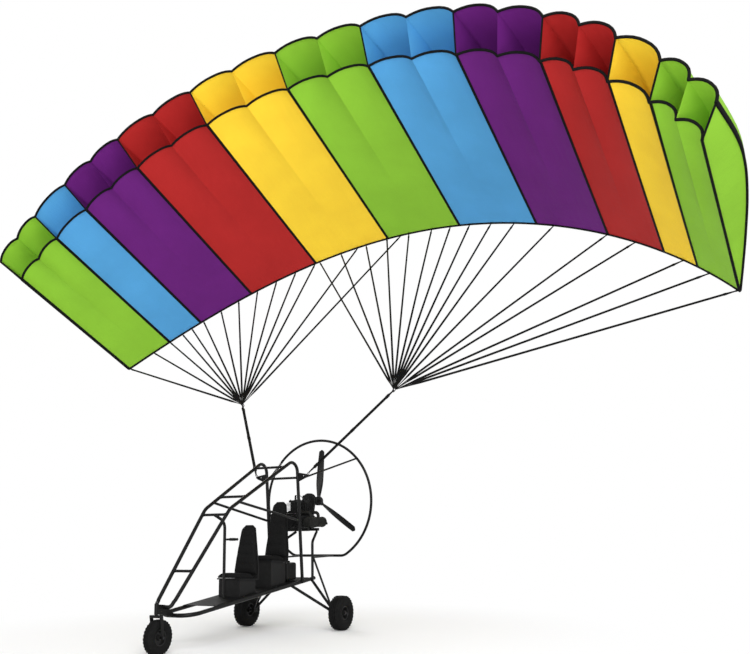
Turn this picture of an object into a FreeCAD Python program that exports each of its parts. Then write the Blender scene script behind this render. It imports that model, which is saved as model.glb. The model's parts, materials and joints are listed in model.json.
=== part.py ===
import FreeCAD, Part
import math
import os

from FreeCAD import Vector

# Two-seat powered parachute: a three-wheeled tube cart with a pusher engine
# under an arched ram-air canopy of eleven colour panels.
# Frame: +X to port, -Y forward, +Z up, millimetres. The finished aircraft has its
# origin on the floor below the middle of its length; the shapes are drawn about a
# working point on the floor under the rear seat and moved by MID_Y when stored.

os.makedirs("parts", exist_ok=True)

# Driving dimensions
GAP = 0.3
MID_Y = 1393.0

# wheels
MAIN_R = 190.0
MAIN_W = 150.0
NOSE_R = 165.0
NOSE_W = 100.0
RIM_R = 76.0
TRACK_HALF = 660.0
MAIN_Y = 600.0
NOSE_Y = -1720.0
STEER_Y = -1750.0
AXLE_R = 9.5
NOSE_AXLE_R = 8.0

# nose gear
HEAD_LOW = 376.0
HEAD_TOP = 476.0
HEAD_R = 21.0
STEM_R = 12.5
FORK_HALF = 66.0
FORK_PLATE = 8.0

# frame tubes
RAIL_OD = 42.0
CAGE_OD = 38.0
BRACE_OD = 28.0
POST_OD = 32.0
STAY_OD = 22.0
RAIL_HALF = 200.0
RAIL_NOSE_Y = -1500.0
RAIL_REAR_Y = 760.0
RAIL_NOSE_Z = 345.0
RAIL_REAR_Z = 560.0
RAIL_BEND = 150.0
CAGE_HALF_NOSE = 105.0
CAGE_HALF_BEND = 165.0
CAGE_HALF_TOP = 220.0
CAGE_NOSE_Y = -1650.0
CAGE_NOSE_Z = 450.0
CAGE_BEND_Y = -850.0
CAGE_BEND_Z = 1365.0
CAGE_TOP_Y = 350.0
CAGE_TOP_Z = 1960.0
CAGE_DOWN_Y = 470.0
CAGE_BEND_R = 220.0
CAGE_TOP_R = 115.0
HOOP_CROSS_HIGH = 1725.0
HOOP_CROSS_LOW = 1300.0
BRACE_LOW_Z = 1230.0
POST_Y = 690.0
POST_BEND_Z = 980.0
POST_TOP_HALF = 150.0
POST_TOP_Y = 900.0
LEG_FRONT_Y = 250.0
LEG_TOP_Z = 830.0
UPRIGHT_Y = -720.0
UPRIGHT_BEND_Z = 1230.0
LEVER_Z = 1045.0
LEVER_LONG = 150.0
PAN_FRONT_Y = -1130.0
PAN_REAR_Y = 640.0
PAN_HALF = 199.0
PAN_THICK = 4.0

# seats
SEAT_HALF = 155.0
SEAT_TOP_HALF = 80.0
SEAT_DEEP = 310.0
SHELL_THICK = 14.0
FRONT_SEAT_Y = -640.0
FRONT_SEAT_Z = 640.0
FRONT_BACK_Z = 1190.0
FRONT_LEAN = 50.0
REAR_SEAT_Y = -60.0
REAR_SEAT_Z = 800.0
REAR_BACK_Z = 1450.0
REAR_LEAN = 80.0
BOX_HALF = 138.0
BOX_WALL = 4.0
TANK_HALF = 150.0
TANK_TOP_Z = 755.0

# engine, propeller and guard
HUB_Z = 1470.0
PROP_Y = 1190.0
PROP_CLEAR = 12.0
BLADE_TURN = 5.0
SHAFT_R = 16.0
GUARD_Y = 1190.0
GUARD_R = 760.0
GUARD_OD = 32.0
GUARD_FLAT_ANGLE = 28.2
GUARD_BEND = 150.0
ENGINE_FRONT_Y = 545.0
ENGINE_REAR_Y = 935.0
ENGINE_LOW_Z = 1140.0
CASE_HALF = 115.0
CASE_HIGH = 150.0
CYL_R = 62.0
CYL_HIGH = 160.0
CYL_FRONT_Y = 660.0
CYL_REAR_Y = 835.0
FIN_HALF = 88.0
FIN_LONG = 152.0
FIN_THICK = 5.0
FIN_PITCH = 15.0
MUFFLER_X = 215.0
MUFFLER_R = 60.0
MUFFLER_LONG = 380.0
PIPE_OD = 38.0

# canopy
ARC_R = 6110.0
ARC_HALF = 59.6
CHORD = 3470.0
CHORD_TAPER = 0.30
TIP_FORWARD = 250.0
LIP_HIGH = 310.0
LIP_AHEAD = 450.0
THICK_MAX = 540.0
TAIL_THICK = 14.0
CANOPY_Y = 3080.0
CANOPY_Z = 6790.0
NOSE_UP = 24.0
SKIN = 1.3
BULGE = 120.0
SEAMS = [-0.933, -0.802, -0.701, -0.537, -0.331, -0.107,
         0.107, 0.331, 0.537, 0.701, 0.802, 0.933]

# rigging
LINK_X = 1150.0
LINK_Y = 1110.0
LINK_Z = 2780.0
LINK_R = 40.0
LINE_OD = 16.0
PASS_SEAM = 5.0
PASS_IN = 45.0
STRAP_WIDE = 40.0
STRAP_THICK = 6.0
BRACKET_Z = 1745.0
BRACKET_OUT = 130.0
BRACKET_HOLE_R = 6.25
BRACKET_THICK = 8.0
SPARE_HOLE_IN = 45.0
STARBOARD_LINES = [0.0, 0.6, 1.0, 1.4, 1.7, 2.05, 2.4, 2.75, 3.1, 3.4, 3.7, 4.0, 4.6, 5.2]
PORT_LINES = [4.05, 4.35, 4.7, 5.0, 5.3, 5.62, 5.88, 6.14, 6.42, 6.72, 7.25, 8.0, 8.5, 9.6, 10.3, 11.0]

SIDES = (("port", 1), ("starboard", -1))


def save(name, shape):
    shape = shape.copy()
    shape.translate(Vector(0, -MID_Y, 0))
    shape.exportStep("parts/" + name + ".step")
    print(name, round(shape.Volume / 1e6, 3), len(shape.Solids), shape.isValid())


def compound(shapes):
    return Part.makeCompound(shapes)


def path_wire(points, bend):
    # Straight runs joined by tangent arcs of radius bend.
    pts = [Vector(*p) for p in points]
    radii = bend if isinstance(bend, (list, tuple)) else [bend] * (len(pts) - 2)
    edges = []
    start = pts[0]
    for i in range(1, len(pts) - 1):
        a = (pts[i - 1] - pts[i]).normalize()
        b = (pts[i + 1] - pts[i]).normalize()
        half = a.getAngle(b) / 2.0
        r = radii[i - 1]
        back = r / math.tan(half)
        p1 = pts[i] + a * back
        p2 = pts[i] + b * back
        axis = (a + b).normalize()
        centre = pts[i] + axis * (r / math.sin(half))
        mid = centre - axis * r
        edges.append(Part.LineSegment(start, p1).toShape())
        edges.append(Part.Arc(p1, mid, p2).toShape())
        start = p2
    edges.append(Part.LineSegment(start, pts[-1]).toShape())
    return Part.Wire(edges)


def tube(points, od, bend=120.0):
    pts = [Vector(*p) for p in points]
    if len(pts) == 2:
        d = pts[1] - pts[0]
        return Part.makeCylinder(od / 2.0, d.Length, pts[0], d)
    wire = path_wire(points, bend)
    ring = Part.Wire([Part.makeCircle(od / 2.0, pts[0], pts[1] - pts[0])])
    return wire.makePipeShell([ring], True, False)


def coped(shape, others):
    # Cut the ends of a tube to the tubes it is welded to.
    for o in others:
        shape = shape.cut(o)
    if len(shape.Solids) > 1:
        shape = max(shape.Solids, key=lambda s: s.Volume)
    return shape


def box(x0, x1, y0, y1, z0, z1):
    return Part.makeBox(x1 - x0, y1 - y0, z1 - z0, Vector(x0, y0, z0))


def rounded(x0, x1, y0, y1, z0, z1, r):
    s = box(x0, x1, y0, y1, z0, z1)
    return s.makeFillet(r, s.Edges)


def rod(x, y0, y1, z, r):
    # Round bar along Y.
    return Part.makeCylinder(r, y1 - y0, Vector(x, y0, z), Vector(0, 1, 0))


def plate(points, x0, x1):
    # Flat plate: outline in the Y-Z plane, from x0 to x1.
    w = Part.makePolygon([Vector(x0, p[0], p[1]) for p in points + [points[0]]])
    return Part.Face(w).extrude(Vector(x1 - x0, 0, 0))


def revolved(points, centre, axis):
    # points are (radius, along axis); the axis runs along X or Y.
    if axis == "x":
        pts = [Vector(p[1], 0, p[0]) for p in points]
        a = Vector(1, 0, 0)
    else:
        pts = [Vector(0, p[1], p[0]) for p in points]
        a = Vector(0, 1, 0)
    face = Part.Face(Part.makePolygon(pts + [pts[0]]))
    s = face.revolve(Vector(0, 0, 0), a, 360)
    s.translate(Vector(*centre))
    return s


def between(p, q, t):
    return tuple(p[i] + t * (q[i] - p[i]) for i in range(3))


# Wheels

def tyre(radius, width, centre):
    h = width / 2.0
    r0 = RIM_R + GAP
    mid = (radius + r0) / 2.0
    pts = [(r0, -0.36 * width), (r0 + 12, -0.44 * width), (mid, -h), (radius - 0.22 * (radius - r0), -0.47 * width),
           (radius - 7, -0.34 * width), (radius, -0.12 * width), (radius, 0.12 * width),
           (radius - 7, 0.34 * width), (radius - 0.22 * (radius - r0), 0.47 * width), (mid, h),
           (r0 + 12, 0.44 * width), (r0, 0.36 * width)]
    return revolved(pts, centre, "x")


def rim(width, centre, bore):
    h = 0.36 * width
    pts = [(RIM_R, -h), (RIM_R - 7, -h), (RIM_R - 9, -h + 8), (RIM_R - 14, -14), (30, -14), (26, -h + 4), (bore, -h + 4),
           (bore, h - 4), (26, h - 4), (30, 14), (RIM_R - 14, 14), (RIM_R - 9, h - 8), (RIM_R - 7, h), (RIM_R, h)]
    return revolved(pts, centre, "x")


save("nose_tyre", tyre(NOSE_R, NOSE_W, (0, NOSE_Y, NOSE_R)))
save("nose_rim", rim(NOSE_W, (0, NOSE_Y, NOSE_R), NOSE_AXLE_R + GAP))
for side, sx in SIDES:
    c = (sx * TRACK_HALF, MAIN_Y, MAIN_R)
    save("main_tyre_" + side, tyre(MAIN_R, MAIN_W, c))
    save("main_rim_" + side, rim(MAIN_W, c, AXLE_R + GAP))


# Floor rails: one tube bent round the nose, rising towards the rear

def rail_z(y):
    t = (y - RAIL_NOSE_Y) / (RAIL_REAR_Y - RAIL_NOSE_Y)
    return RAIL_NOSE_Z + t * (RAIL_REAR_Z - RAIL_NOSE_Z)


def floor_z(y):
    # Top of the floor pan.
    return rail_z(y) + RAIL_OD / 2 + PAN_THICK


def rail_points():
    return [(RAIL_HALF, RAIL_REAR_Y, rail_z(RAIL_REAR_Y)), (RAIL_HALF, RAIL_NOSE_Y, RAIL_NOSE_Z),
            (-RAIL_HALF, RAIL_NOSE_Y, RAIL_NOSE_Z), (-RAIL_HALF, RAIL_REAR_Y, rail_z(RAIL_REAR_Y))]


rails = tube(rail_points(), RAIL_OD, RAIL_BEND)
rails_fat = tube(rail_points(), RAIL_OD + 2 * GAP, RAIL_BEND)
save("floor_rails", rails)


# Cage: a tube each side from the nose over the seats and down to the rail

def cage_points(sx):
    return [(sx * CAGE_HALF_NOSE, CAGE_NOSE_Y + 40, CAGE_NOSE_Z + 45),
            (sx * CAGE_HALF_BEND, CAGE_BEND_Y, CAGE_BEND_Z),
            (sx * CAGE_HALF_TOP, CAGE_TOP_Y, CAGE_TOP_Z),
            (sx * CAGE_HALF_TOP, CAGE_DOWN_Y, rail_z(CAGE_DOWN_Y) - 10)]


def down_tube(sx, z):
    # Point on the rear leg of the cage at height z.
    a = cage_points(sx)
    return between(a[2], a[3], (a[2][2] - z) / (a[2][2] - a[3][2]))


cage = {}
cage_fat = {}
for side, sx in SIDES:
    cage_fat[side] = tube(cage_points(sx), CAGE_OD + 2 * GAP, [CAGE_BEND_R, CAGE_TOP_R])
    cage[side] = coped(tube(cage_points(sx), CAGE_OD, [CAGE_BEND_R, CAGE_TOP_R]), [rails_fat])
    save("cage_tube_" + side, cage[side])
both_cages = [cage_fat["port"], cage_fat["starboard"]]


def bow_tube(od):
    h = CAGE_HALF_NOSE
    y = CAGE_NOSE_Y
    z = CAGE_NOSE_Z
    return tube([(h - 4, y + 38, z + 43), (h - 12, y - 10, z - 12), (-h + 12, y - 10, z - 12), (-h + 4, y + 38, z + 43)], od, 30.0)


save("cage_nose_bow", coped(bow_tube(CAGE_OD), both_cages))

# Nose: steering head on the frame, fork and axle below it
head = Part.makeCylinder(HEAD_R, HEAD_TOP - HEAD_LOW, Vector(0, STEER_Y, HEAD_LOW), Vector(0, 0, 1))
web = [(STEER_Y, HEAD_LOW + 6), (STEER_Y, HEAD_TOP - 6), (CAGE_NOSE_Y - 4, CAGE_NOSE_Z + 8),
       (RAIL_NOSE_Y - 4, RAIL_NOSE_Z + 8), (RAIL_NOSE_Y - 4, RAIL_NOSE_Z - 8), (RAIL_NOSE_Y - 60, RAIL_NOSE_Z - 4)]
for x0 in (-HEAD_R, HEAD_R - 6):
    head = head.fuse(plate(web, x0, x0 + 6))
head = head.cut(Part.makeCylinder(STEM_R + 0.5, 200, Vector(0, STEER_Y, HEAD_LOW - 50), Vector(0, 0, 1)))
head = coped(head, [rails_fat, bow_tube(CAGE_OD + 2 * GAP)])
save("steering_head", head)

crown_z = HEAD_LOW - 4
fork = rounded(-FORK_HALF, FORK_HALF, STEER_Y - 26, STEER_Y + 26, crown_z - 26, crown_z, 6)
fork = fork.fuse(Part.makeCylinder(STEM_R, HEAD_TOP + 14 - crown_z + 5, Vector(0, STEER_Y, crown_z - 5), Vector(0, 0, 1)))
for sx in (1, -1):
    leg = plate([(STEER_Y - 22, crown_z - 6), (STEER_Y + 22, crown_z - 6), (NOSE_Y + 20, NOSE_R - 8), (NOSE_Y + 8, NOSE_R - 22),
                 (NOSE_Y - 8, NOSE_R - 22), (NOSE_Y - 20, NOSE_R - 8)], sx * (FORK_HALF - FORK_PLATE), sx * FORK_HALF)
    fork = fork.fuse(leg)
fork = fork.cut(Part.makeCylinder(NOSE_AXLE_R + GAP, 2 * FORK_HALF + 80, Vector(-FORK_HALF - 40, NOSE_Y, NOSE_R), Vector(1, 0, 0)))
save("nose_fork", fork.removeSplitter())
pin_half = FORK_HALF + 6
nose_axle = Part.makeCylinder(NOSE_AXLE_R, 2 * pin_half, Vector(-pin_half, NOSE_Y, NOSE_R), Vector(1, 0, 0))
for x0 in (-FORK_HALF - 8, FORK_HALF + GAP):
    nose_axle = nose_axle.fuse(Part.makeCylinder(13, 8 - GAP, Vector(x0, NOSE_Y, NOSE_R), Vector(1, 0, 0)))
hub_half = 0.36 * NOSE_W - 4
spacer = FORK_HALF - FORK_PLATE - hub_half - 2 * GAP
for x0 in (-FORK_HALF + FORK_PLATE + GAP, hub_half + GAP):
    nose_axle = nose_axle.fuse(Part.makeCylinder(12, spacer, Vector(x0, NOSE_Y, NOSE_R), Vector(1, 0, 0)))
save("nose_axle", nose_axle)


# Rear uprights that carry the engine

def post_tube(sx, od):
    return tube([(sx * CAGE_HALF_TOP, POST_Y, rail_z(POST_Y)), (sx * CAGE_HALF_TOP, POST_Y, POST_BEND_Z),
                 (sx * POST_TOP_HALF, POST_TOP_Y, ENGINE_LOW_Z - 45)], od, 60.0)


posts = {}
for side, sx in SIDES:
    posts[side] = coped(post_tube(sx, POST_OD), [rails_fat])
    save("rear_upright_" + side, posts[side])

# Main gear: three struts a side from the frame to the axle
for side, sx in SIDES:
    inner = TRACK_HALF - MAIN_W / 2.0 - 36
    hub_half = 0.36 * MAIN_W - 4
    hub_in = TRACK_HALF - hub_half
    hub_out = TRACK_HALF + hub_half
    axle = Part.makeCylinder(AXLE_R, hub_out + 14 - inner + 6, Vector(sx * (inner - 6), MAIN_Y, MAIN_R), Vector(sx, 0, 0))
    axle = axle.fuse(Part.makeCylinder(14, hub_in - GAP - inner - 20, Vector(sx * (inner + 20), MAIN_Y, MAIN_R), Vector(sx, 0, 0)))
    axle = axle.fuse(Part.makeCylinder(15, 14, Vector(sx * (hub_out + GAP), MAIN_Y, MAIN_R), Vector(sx, 0, 0)))
    save("main_axle_" + side, axle)
    knuckle = rounded(inner - 20, inner + 20 - GAP, MAIN_Y - 34, MAIN_Y + 34, MAIN_R - 24, MAIN_R + 40, 5)
    if sx < 0:
        knuckle = knuckle.mirror(Vector(0, 0, 0), Vector(1, 0, 0))
    legs = knuckle
    for y0, y1 in ((LEG_FRONT_Y, MAIN_Y - 18), (POST_Y, MAIN_Y + 18)):
        legs = legs.fuse(tube([(sx * RAIL_HALF, y0, rail_z(y0)), (sx * inner, y1, MAIN_R + 16)], POST_OD))
    legs = legs.fuse(tube([(sx * CAGE_HALF_TOP, POST_Y, LEG_TOP_Z), (sx * inner, MAIN_Y, MAIN_R + 20)], 24.0))
    legs = legs.cut(Part.makeCylinder(AXLE_R + GAP, 200, Vector(sx * (inner - 60), MAIN_Y, MAIN_R), Vector(sx, 0, 0)))
    legs = coped(legs, [rails_fat, post_tube(sx, POST_OD + 2 * GAP)])
    save("gear_leg_" + side, legs)


# Cross tubes of the cage and the hoop

def cross_tube(p, q, od):
    return tube([p, q], od)


port_run = cage_points(1)
starboard_run = cage_points(-1)
cross_ends = []
for leg, t in ((0, 0.30), (0, 0.93), (1, 0.22), (1, 0.80)):
    cross_ends.append((between(port_run[leg], port_run[leg + 1], t), between(starboard_run[leg], starboard_run[leg + 1], t)))
for z in (HOOP_CROSS_HIGH, HOOP_CROSS_LOW):
    cross_ends.append((down_tube(1, z), down_tube(-1, z)))
save("cage_cross_tubes", compound([coped(cross_tube(p, q, BRACE_OD), both_cages) for p, q in cross_ends]))
bend_cross_fat = cross_tube(cross_ends[1][0], cross_ends[1][1], BRACE_OD + 2 * GAP)

braces = []
for side, sx in SIDES:
    a = cage_points(sx)
    braces.append(coped(tube([between(a[1], a[2], 0.12), down_tube(sx, BRACE_LOW_Z)], BRACE_OD), [cage_fat[side]]))
save("side_braces", compound(braces))

# Front upright: from the cross tube at the cage's bend down to the floor, with its hand lever
knee = between(cross_ends[1][0], cross_ends[1][1], 0.5)
upright = tube([knee, (0, UPRIGHT_Y, UPRIGHT_BEND_Z), (0, UPRIGHT_Y, floor_z(UPRIGHT_Y) + 2.0)], POST_OD, 110.0)
lever = tube([(0, UPRIGHT_Y, LEVER_Z), (LEVER_LONG, UPRIGHT_Y + 20, LEVER_Z)], 22.0)
lever = lever.fuse(Part.makeSphere(15, Vector(LEVER_LONG, UPRIGHT_Y + 20, LEVER_Z)))
upright = coped(upright.fuse(lever), [bend_cross_fat])
save("front_upright", upright)

# Floor pan on the rails
pan = plate([(PAN_FRONT_Y, floor_z(PAN_FRONT_Y) - PAN_THICK + GAP), (PAN_REAR_Y, floor_z(PAN_REAR_Y) - PAN_THICK + GAP),
             (PAN_REAR_Y, floor_z(PAN_REAR_Y)), (PAN_FRONT_Y, floor_z(PAN_FRONT_Y))], -PAN_HALF, PAN_HALF)
save("floor_pan", pan)


# Seats: shell, seat cushion and back cushion, one behind the other

def tapered(inset, z_low, z_wide, z_top, y0, y1):
    # Prism along Y with the seat back's front outline: straight below, narrow and round on top.
    w = SEAT_HALF - inset
    n = SEAT_TOP_HALF - inset
    corner = 0.45 * n
    pts = [(-w, z_low), (w, z_low), (w, z_wide), (n + 6, z_top - corner), (n - corner, z_top),
           (-n + corner, z_top), (-n - 6, z_top - corner), (-w, z_wide)]
    wire = Part.makePolygon([Vector(p[0], y0, p[1]) for p in pts + [pts[0]]])
    s = Part.Face(wire).extrude(Vector(0, y1 - y0, 0))
    soft = [e for e in s.Edges if abs(e.Length - (y1 - y0)) < 0.01 and e.CenterOfMass.z > z_wide + 1]
    s = s.makeFillet(0.42 * corner, soft)
    wide = [e for e in s.Edges if abs(e.Length - (y1 - y0)) < 0.01 and abs(e.CenterOfMass.z - z_wide) < 1]
    return s.makeFillet(90.0, wide)


def seat(name, y_front, z_pan, back_top, lean_back):
    y_back = y_front + SEAT_DEEP
    t = SHELL_THICK
    shell = plate([(y_front, z_pan), (y_back, z_pan - 20), (y_back + lean_back, back_top), (y_back + lean_back + t, back_top),
                   (y_back + 20, z_pan - 20 - t), (y_front, z_pan - t)], -SEAT_HALF, SEAT_HALF)
    shell = shell.common(tapered(0.0, z_pan - 60, z_pan + 90, back_top, y_front - 20, y_back + lean_back + 60))
    save(name + "_shell", shell)
    w = SEAT_HALF - 10
    cushion = plate([(y_front + 6, z_pan + GAP), (y_back - 60, z_pan - 16 + GAP), (y_back - 60, z_pan + 50), (y_front + 6, z_pan + 62)],
                    -w, w)
    cushion = cushion.makeFillet(14, [e for e in cushion.Edges if e.Length > 200])
    save(name + "_cushion", cushion)
    lean = lean_back / (back_top - z_pan + 20)
    pts = []
    for z, off in ((z_pan + 20, -GAP), (back_top, -GAP), (back_top, -44.0), (z_pan + 20, -56.0)):
        pts.append((y_back + lean * (z - z_pan + 20) + off - 1.0, z))
    back = plate(pts, -w, w)
    back = back.common(tapered(10.0, z_pan + 20, z_pan + 90, back_top - 12, y_back - 90, y_back + lean_back + 30))
    save(name + "_back_cushion", back)


seat("front_seat", FRONT_SEAT_Y, FRONT_SEAT_Z, FRONT_BACK_Z, FRONT_LEAN)
seat("rear_seat", REAR_SEAT_Y, REAR_SEAT_Z, REAR_BACK_Z, REAR_LEAN)

# Seat boxes: sheet walls from the floor up to each shell
seat_boxes = []
for y_seat, z_seat in ((FRONT_SEAT_Y, FRONT_SEAT_Z), (REAR_SEAT_Y, REAR_SEAT_Z)):
    y0 = y_seat + 12
    y1 = y_seat + SEAT_DEEP - 12
    low = [(y, floor_z(y) + GAP) for y in (y0, y1)]
    top = [(y, z_seat - SHELL_THICK - 20 * (y - y_seat) / SEAT_DEEP - GAP) for y in (y1, y0)]
    walls = plate(low + top, -BOX_HALF, BOX_HALF)
    t = BOX_WALL
    low = [(y, z - 20) for y, z in ((y0 + t, low[0][1]), (y1 - t, low[1][1]))]
    top = [(y, z + 20) for y, z in ((y1 - t, top[0][1]), (y0 + t, top[1][1]))]
    seat_boxes.append(walls.cut(plate(low + top, -BOX_HALF + t, BOX_HALF - t)))
save("seat_boxes", compound(seat_boxes))

# Fuel tank between the rear seat box and the engine
tank = rounded(-TANK_HALF, TANK_HALF, REAR_SEAT_Y + SEAT_DEEP + 20, CAGE_DOWN_Y - 10, floor_z(CAGE_DOWN_Y) + 2, TANK_TOP_Z, 25)
save("fuel_tank", tank)

# Engine: crankcase with two finned cylinders in line
case_top = ENGINE_LOW_Z + CASE_HIGH
crank_z = ENGINE_LOW_Z + 0.56 * CASE_HIGH
cylinders = (CYL_FRONT_Y, CYL_REAR_Y)
engine = rounded(-CASE_HALF, CASE_HALF, ENGINE_FRONT_Y + 30, ENGINE_REAR_Y, ENGINE_LOW_Z, case_top, 18)
engine_bits = [rod(0, ENGINE_FRONT_Y, ENGINE_FRONT_Y + 40, crank_z, 0.55 * CASE_HIGH)]
for y in cylinders:
    engine_bits.append(Part.makeCylinder(CYL_R, CYL_HIGH + 5, Vector(0, y, case_top - 5), Vector(0, 0, 1)))
    z = case_top + 12
    while z < case_top + CYL_HIGH - FIN_THICK:
        fin = box(-FIN_HALF, FIN_HALF, y - FIN_LONG / 2, y + FIN_LONG / 2, z, z + FIN_THICK)
        fin = fin.makeFillet(16, [e for e in fin.Edges if abs(e.Length - FIN_THICK) < 0.01])
        engine_bits.append(fin)
        z += FIN_PITCH
    head_top = case_top + CYL_HIGH
    cover = box(-CYL_R, CYL_R, y - CYL_R, y + CYL_R, head_top - 2, head_top + 22)
    cover = cover.makeFillet(14, [e for e in cover.Edges if abs(e.Length - 24) < 0.01])
    engine_bits.append(cover)
    engine_bits.append(Part.makeCylinder(11, 44, Vector(0, y, head_top), Vector(0, 0, 1)))
    engine_bits.append(Part.makeCylinder(26, FIN_HALF + 10, Vector(0, y, case_top + 34), Vector(1, 0, 0)))
    engine_bits.append(Part.makeCylinder(24, FIN_HALF + 10, Vector(0, y, case_top + 26), Vector(-1, 0, 0)))
engine = engine.fuse(engine_bits).removeSplitter()
save("engine_block", engine)

# Carburettors with their air filters on the starboard side
carbs = []
for y in cylinders:
    x0 = -FIN_HALF - 10 - GAP
    carb = Part.makeCylinder(22, 58, Vector(x0, y, case_top + 26), Vector(-1, 0, 0))
    carb = carb.fuse(rounded(x0 - 46, x0 - 22, y - 24, y + 24, case_top - 24, case_top + 18, 6))
    carb = carb.fuse(Part.makeCylinder(37, 56, Vector(x0 - 52, y, case_top + 26), Vector(-1, 0, 0)))
    carbs.append(carb)
save("carburettors", compound(carbs))


# Belt reduction drive: carrier plate, pulleys and belt, and the propeller shaft

def belt_loop(z1, r1, z2, r2, y0, y1):
    # Outline round two circles one above the other, as a solid along Y.
    nz = (r1 - r2) / (z2 - z1)
    nx = math.sqrt(1.0 - nz * nz)
    a = Vector(r1 * nx, y0, z1 + r1 * nz)
    b = Vector(r2 * nx, y0, z2 + r2 * nz)
    c = Vector(-b.x, y0, b.z)
    d = Vector(-a.x, y0, a.z)
    edges = [Part.LineSegment(a, b).toShape(), Part.Arc(b, Vector(0, y0, z2 + r2), c).toShape(),
             Part.LineSegment(c, d).toShape(), Part.Arc(d, Vector(0, y0, z1 - r1), a).toShape()]
    return Part.Face(Part.Wire(edges)).extrude(Vector(0, y1 - y0, 0))


drive_y = ENGINE_REAR_Y + GAP
drive = belt_loop(crank_z, 62.0, HUB_Z, 58.0, drive_y, drive_y + 12)
belt = belt_loop(crank_z, 44.0, HUB_Z, 84.0, drive_y + 20, drive_y + 54)
drive = drive.fuse([belt, rod(0, drive_y + 10, drive_y + 66, crank_z, 24.0), rod(0, drive_y + 10, drive_y + 110, HUB_Z, 40.0),
                    rod(0, drive_y + 54, drive_y + 60, HUB_Z, 92.0), rod(0, drive_y + 14, drive_y + 20, HUB_Z, 92.0),
                    rod(0, drive_y, PROP_Y - 8, HUB_Z, SHAFT_R)])
save("reduction_drive", drive.removeSplitter())

mount = []
for y0 in (CYL_FRONT_Y - 20, CYL_REAR_Y + 25):
    mount.append(box(-POST_TOP_HALF - 50, POST_TOP_HALF + 50, y0 - 20, y0 + 20, ENGINE_LOW_Z - 34, ENGINE_LOW_Z - GAP))
save("engine_mount", compound([coped(m, [posts["port"], posts["starboard"]]) for m in mount]))

# Exhaust: silencer with a pipe from each cylinder
h = MUFFLER_LONG / 2
r = MUFFLER_R
muffler_y = (CYL_FRONT_Y + CYL_REAR_Y) / 2 + 12
muffler_z = ENGINE_LOW_Z + 70
muffler = revolved([(0, -h), (r - 10, -h), (r, -h + 12), (r, h - 12), (r - 10, h), (20, h), (20, h + 40), (17, h + 40), (17, h - 3),
                    (r - 11, h - 3), (r - 3, h - 13), (r - 3, -h + 13), (r - 11, -h + 3), (0, -h + 3)],
                   (MUFFLER_X, muffler_y, muffler_z), "y")
for y in cylinders:
    pipe = tube([(FIN_HALF + 10 + GAP, y, case_top + 34), (MUFFLER_X, y, case_top + 34), (MUFFLER_X, y, muffler_z + r - 14)], PIPE_OD, 42.0)
    muffler = muffler.fuse(pipe)
save("exhaust_muffler", muffler)

# Propeller guard: ring with a flat bottom, and its struts
flat_drop = GUARD_R * math.cos(math.radians(GUARD_FLAT_ANGLE))
flat_z = HUB_Z - flat_drop
corner_x = math.sqrt((GUARD_R - GUARD_BEND) ** 2 - (flat_drop - GUARD_BEND) ** 2)


def guard_tube(od):
    c = Vector(corner_x, GUARD_Y, flat_z + GUARD_BEND)
    hub_at = Vector(0, GUARD_Y, HUB_Z)
    out = (c - hub_at).normalize()
    low = c + Vector(0, 0, -GUARD_BEND)
    high = c + out * GUARD_BEND
    mid = c + (out + Vector(0, 0, -1)).normalize() * GUARD_BEND
    low2 = Vector(-low.x, low.y, low.z)
    high2 = Vector(-high.x, high.y, high.z)
    mid2 = Vector(-mid.x, mid.y, mid.z)
    path = Part.Wire([Part.Arc(low, mid, high).toShape(), Part.Arc(high, Vector(0, GUARD_Y, HUB_Z + GUARD_R), high2).toShape(),
                      Part.Arc(high2, mid2, low2).toShape()])
    ring = Part.Wire([Part.makeCircle(od / 2, low, Vector(1, 0, 0))])
    bent = path.makePipeShell([ring], True, False)
    flat = Part.makeCylinder(od / 2, 2 * corner_x, low2, Vector(1, 0, 0))
    return bent.fuse(flat)


save("guard_ring", guard_tube(GUARD_OD))
guard_fat = guard_tube(GUARD_OD + 2 * GAP)
struts = []
for side, sx in SIDES:
    start = down_tube(sx, HOOP_CROSS_HIGH - 25)
    ang = math.radians(42.0)
    end = (sx * GUARD_R * math.cos(ang), GUARD_Y, HUB_Z + GUARD_R * math.sin(ang))
    struts.append(coped(tube([start, end], STAY_OD), [cage_fat[side], guard_fat]))
    start = (sx * CAGE_HALF_TOP, POST_Y, LEG_TOP_Z - 30)
    end = (sx * CAGE_HALF_TOP, GUARD_Y, flat_z)
    struts.append(coped(tube([start, end], STAY_OD), [posts[side], guard_fat]))
save("guard_struts", compound(struts))

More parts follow.
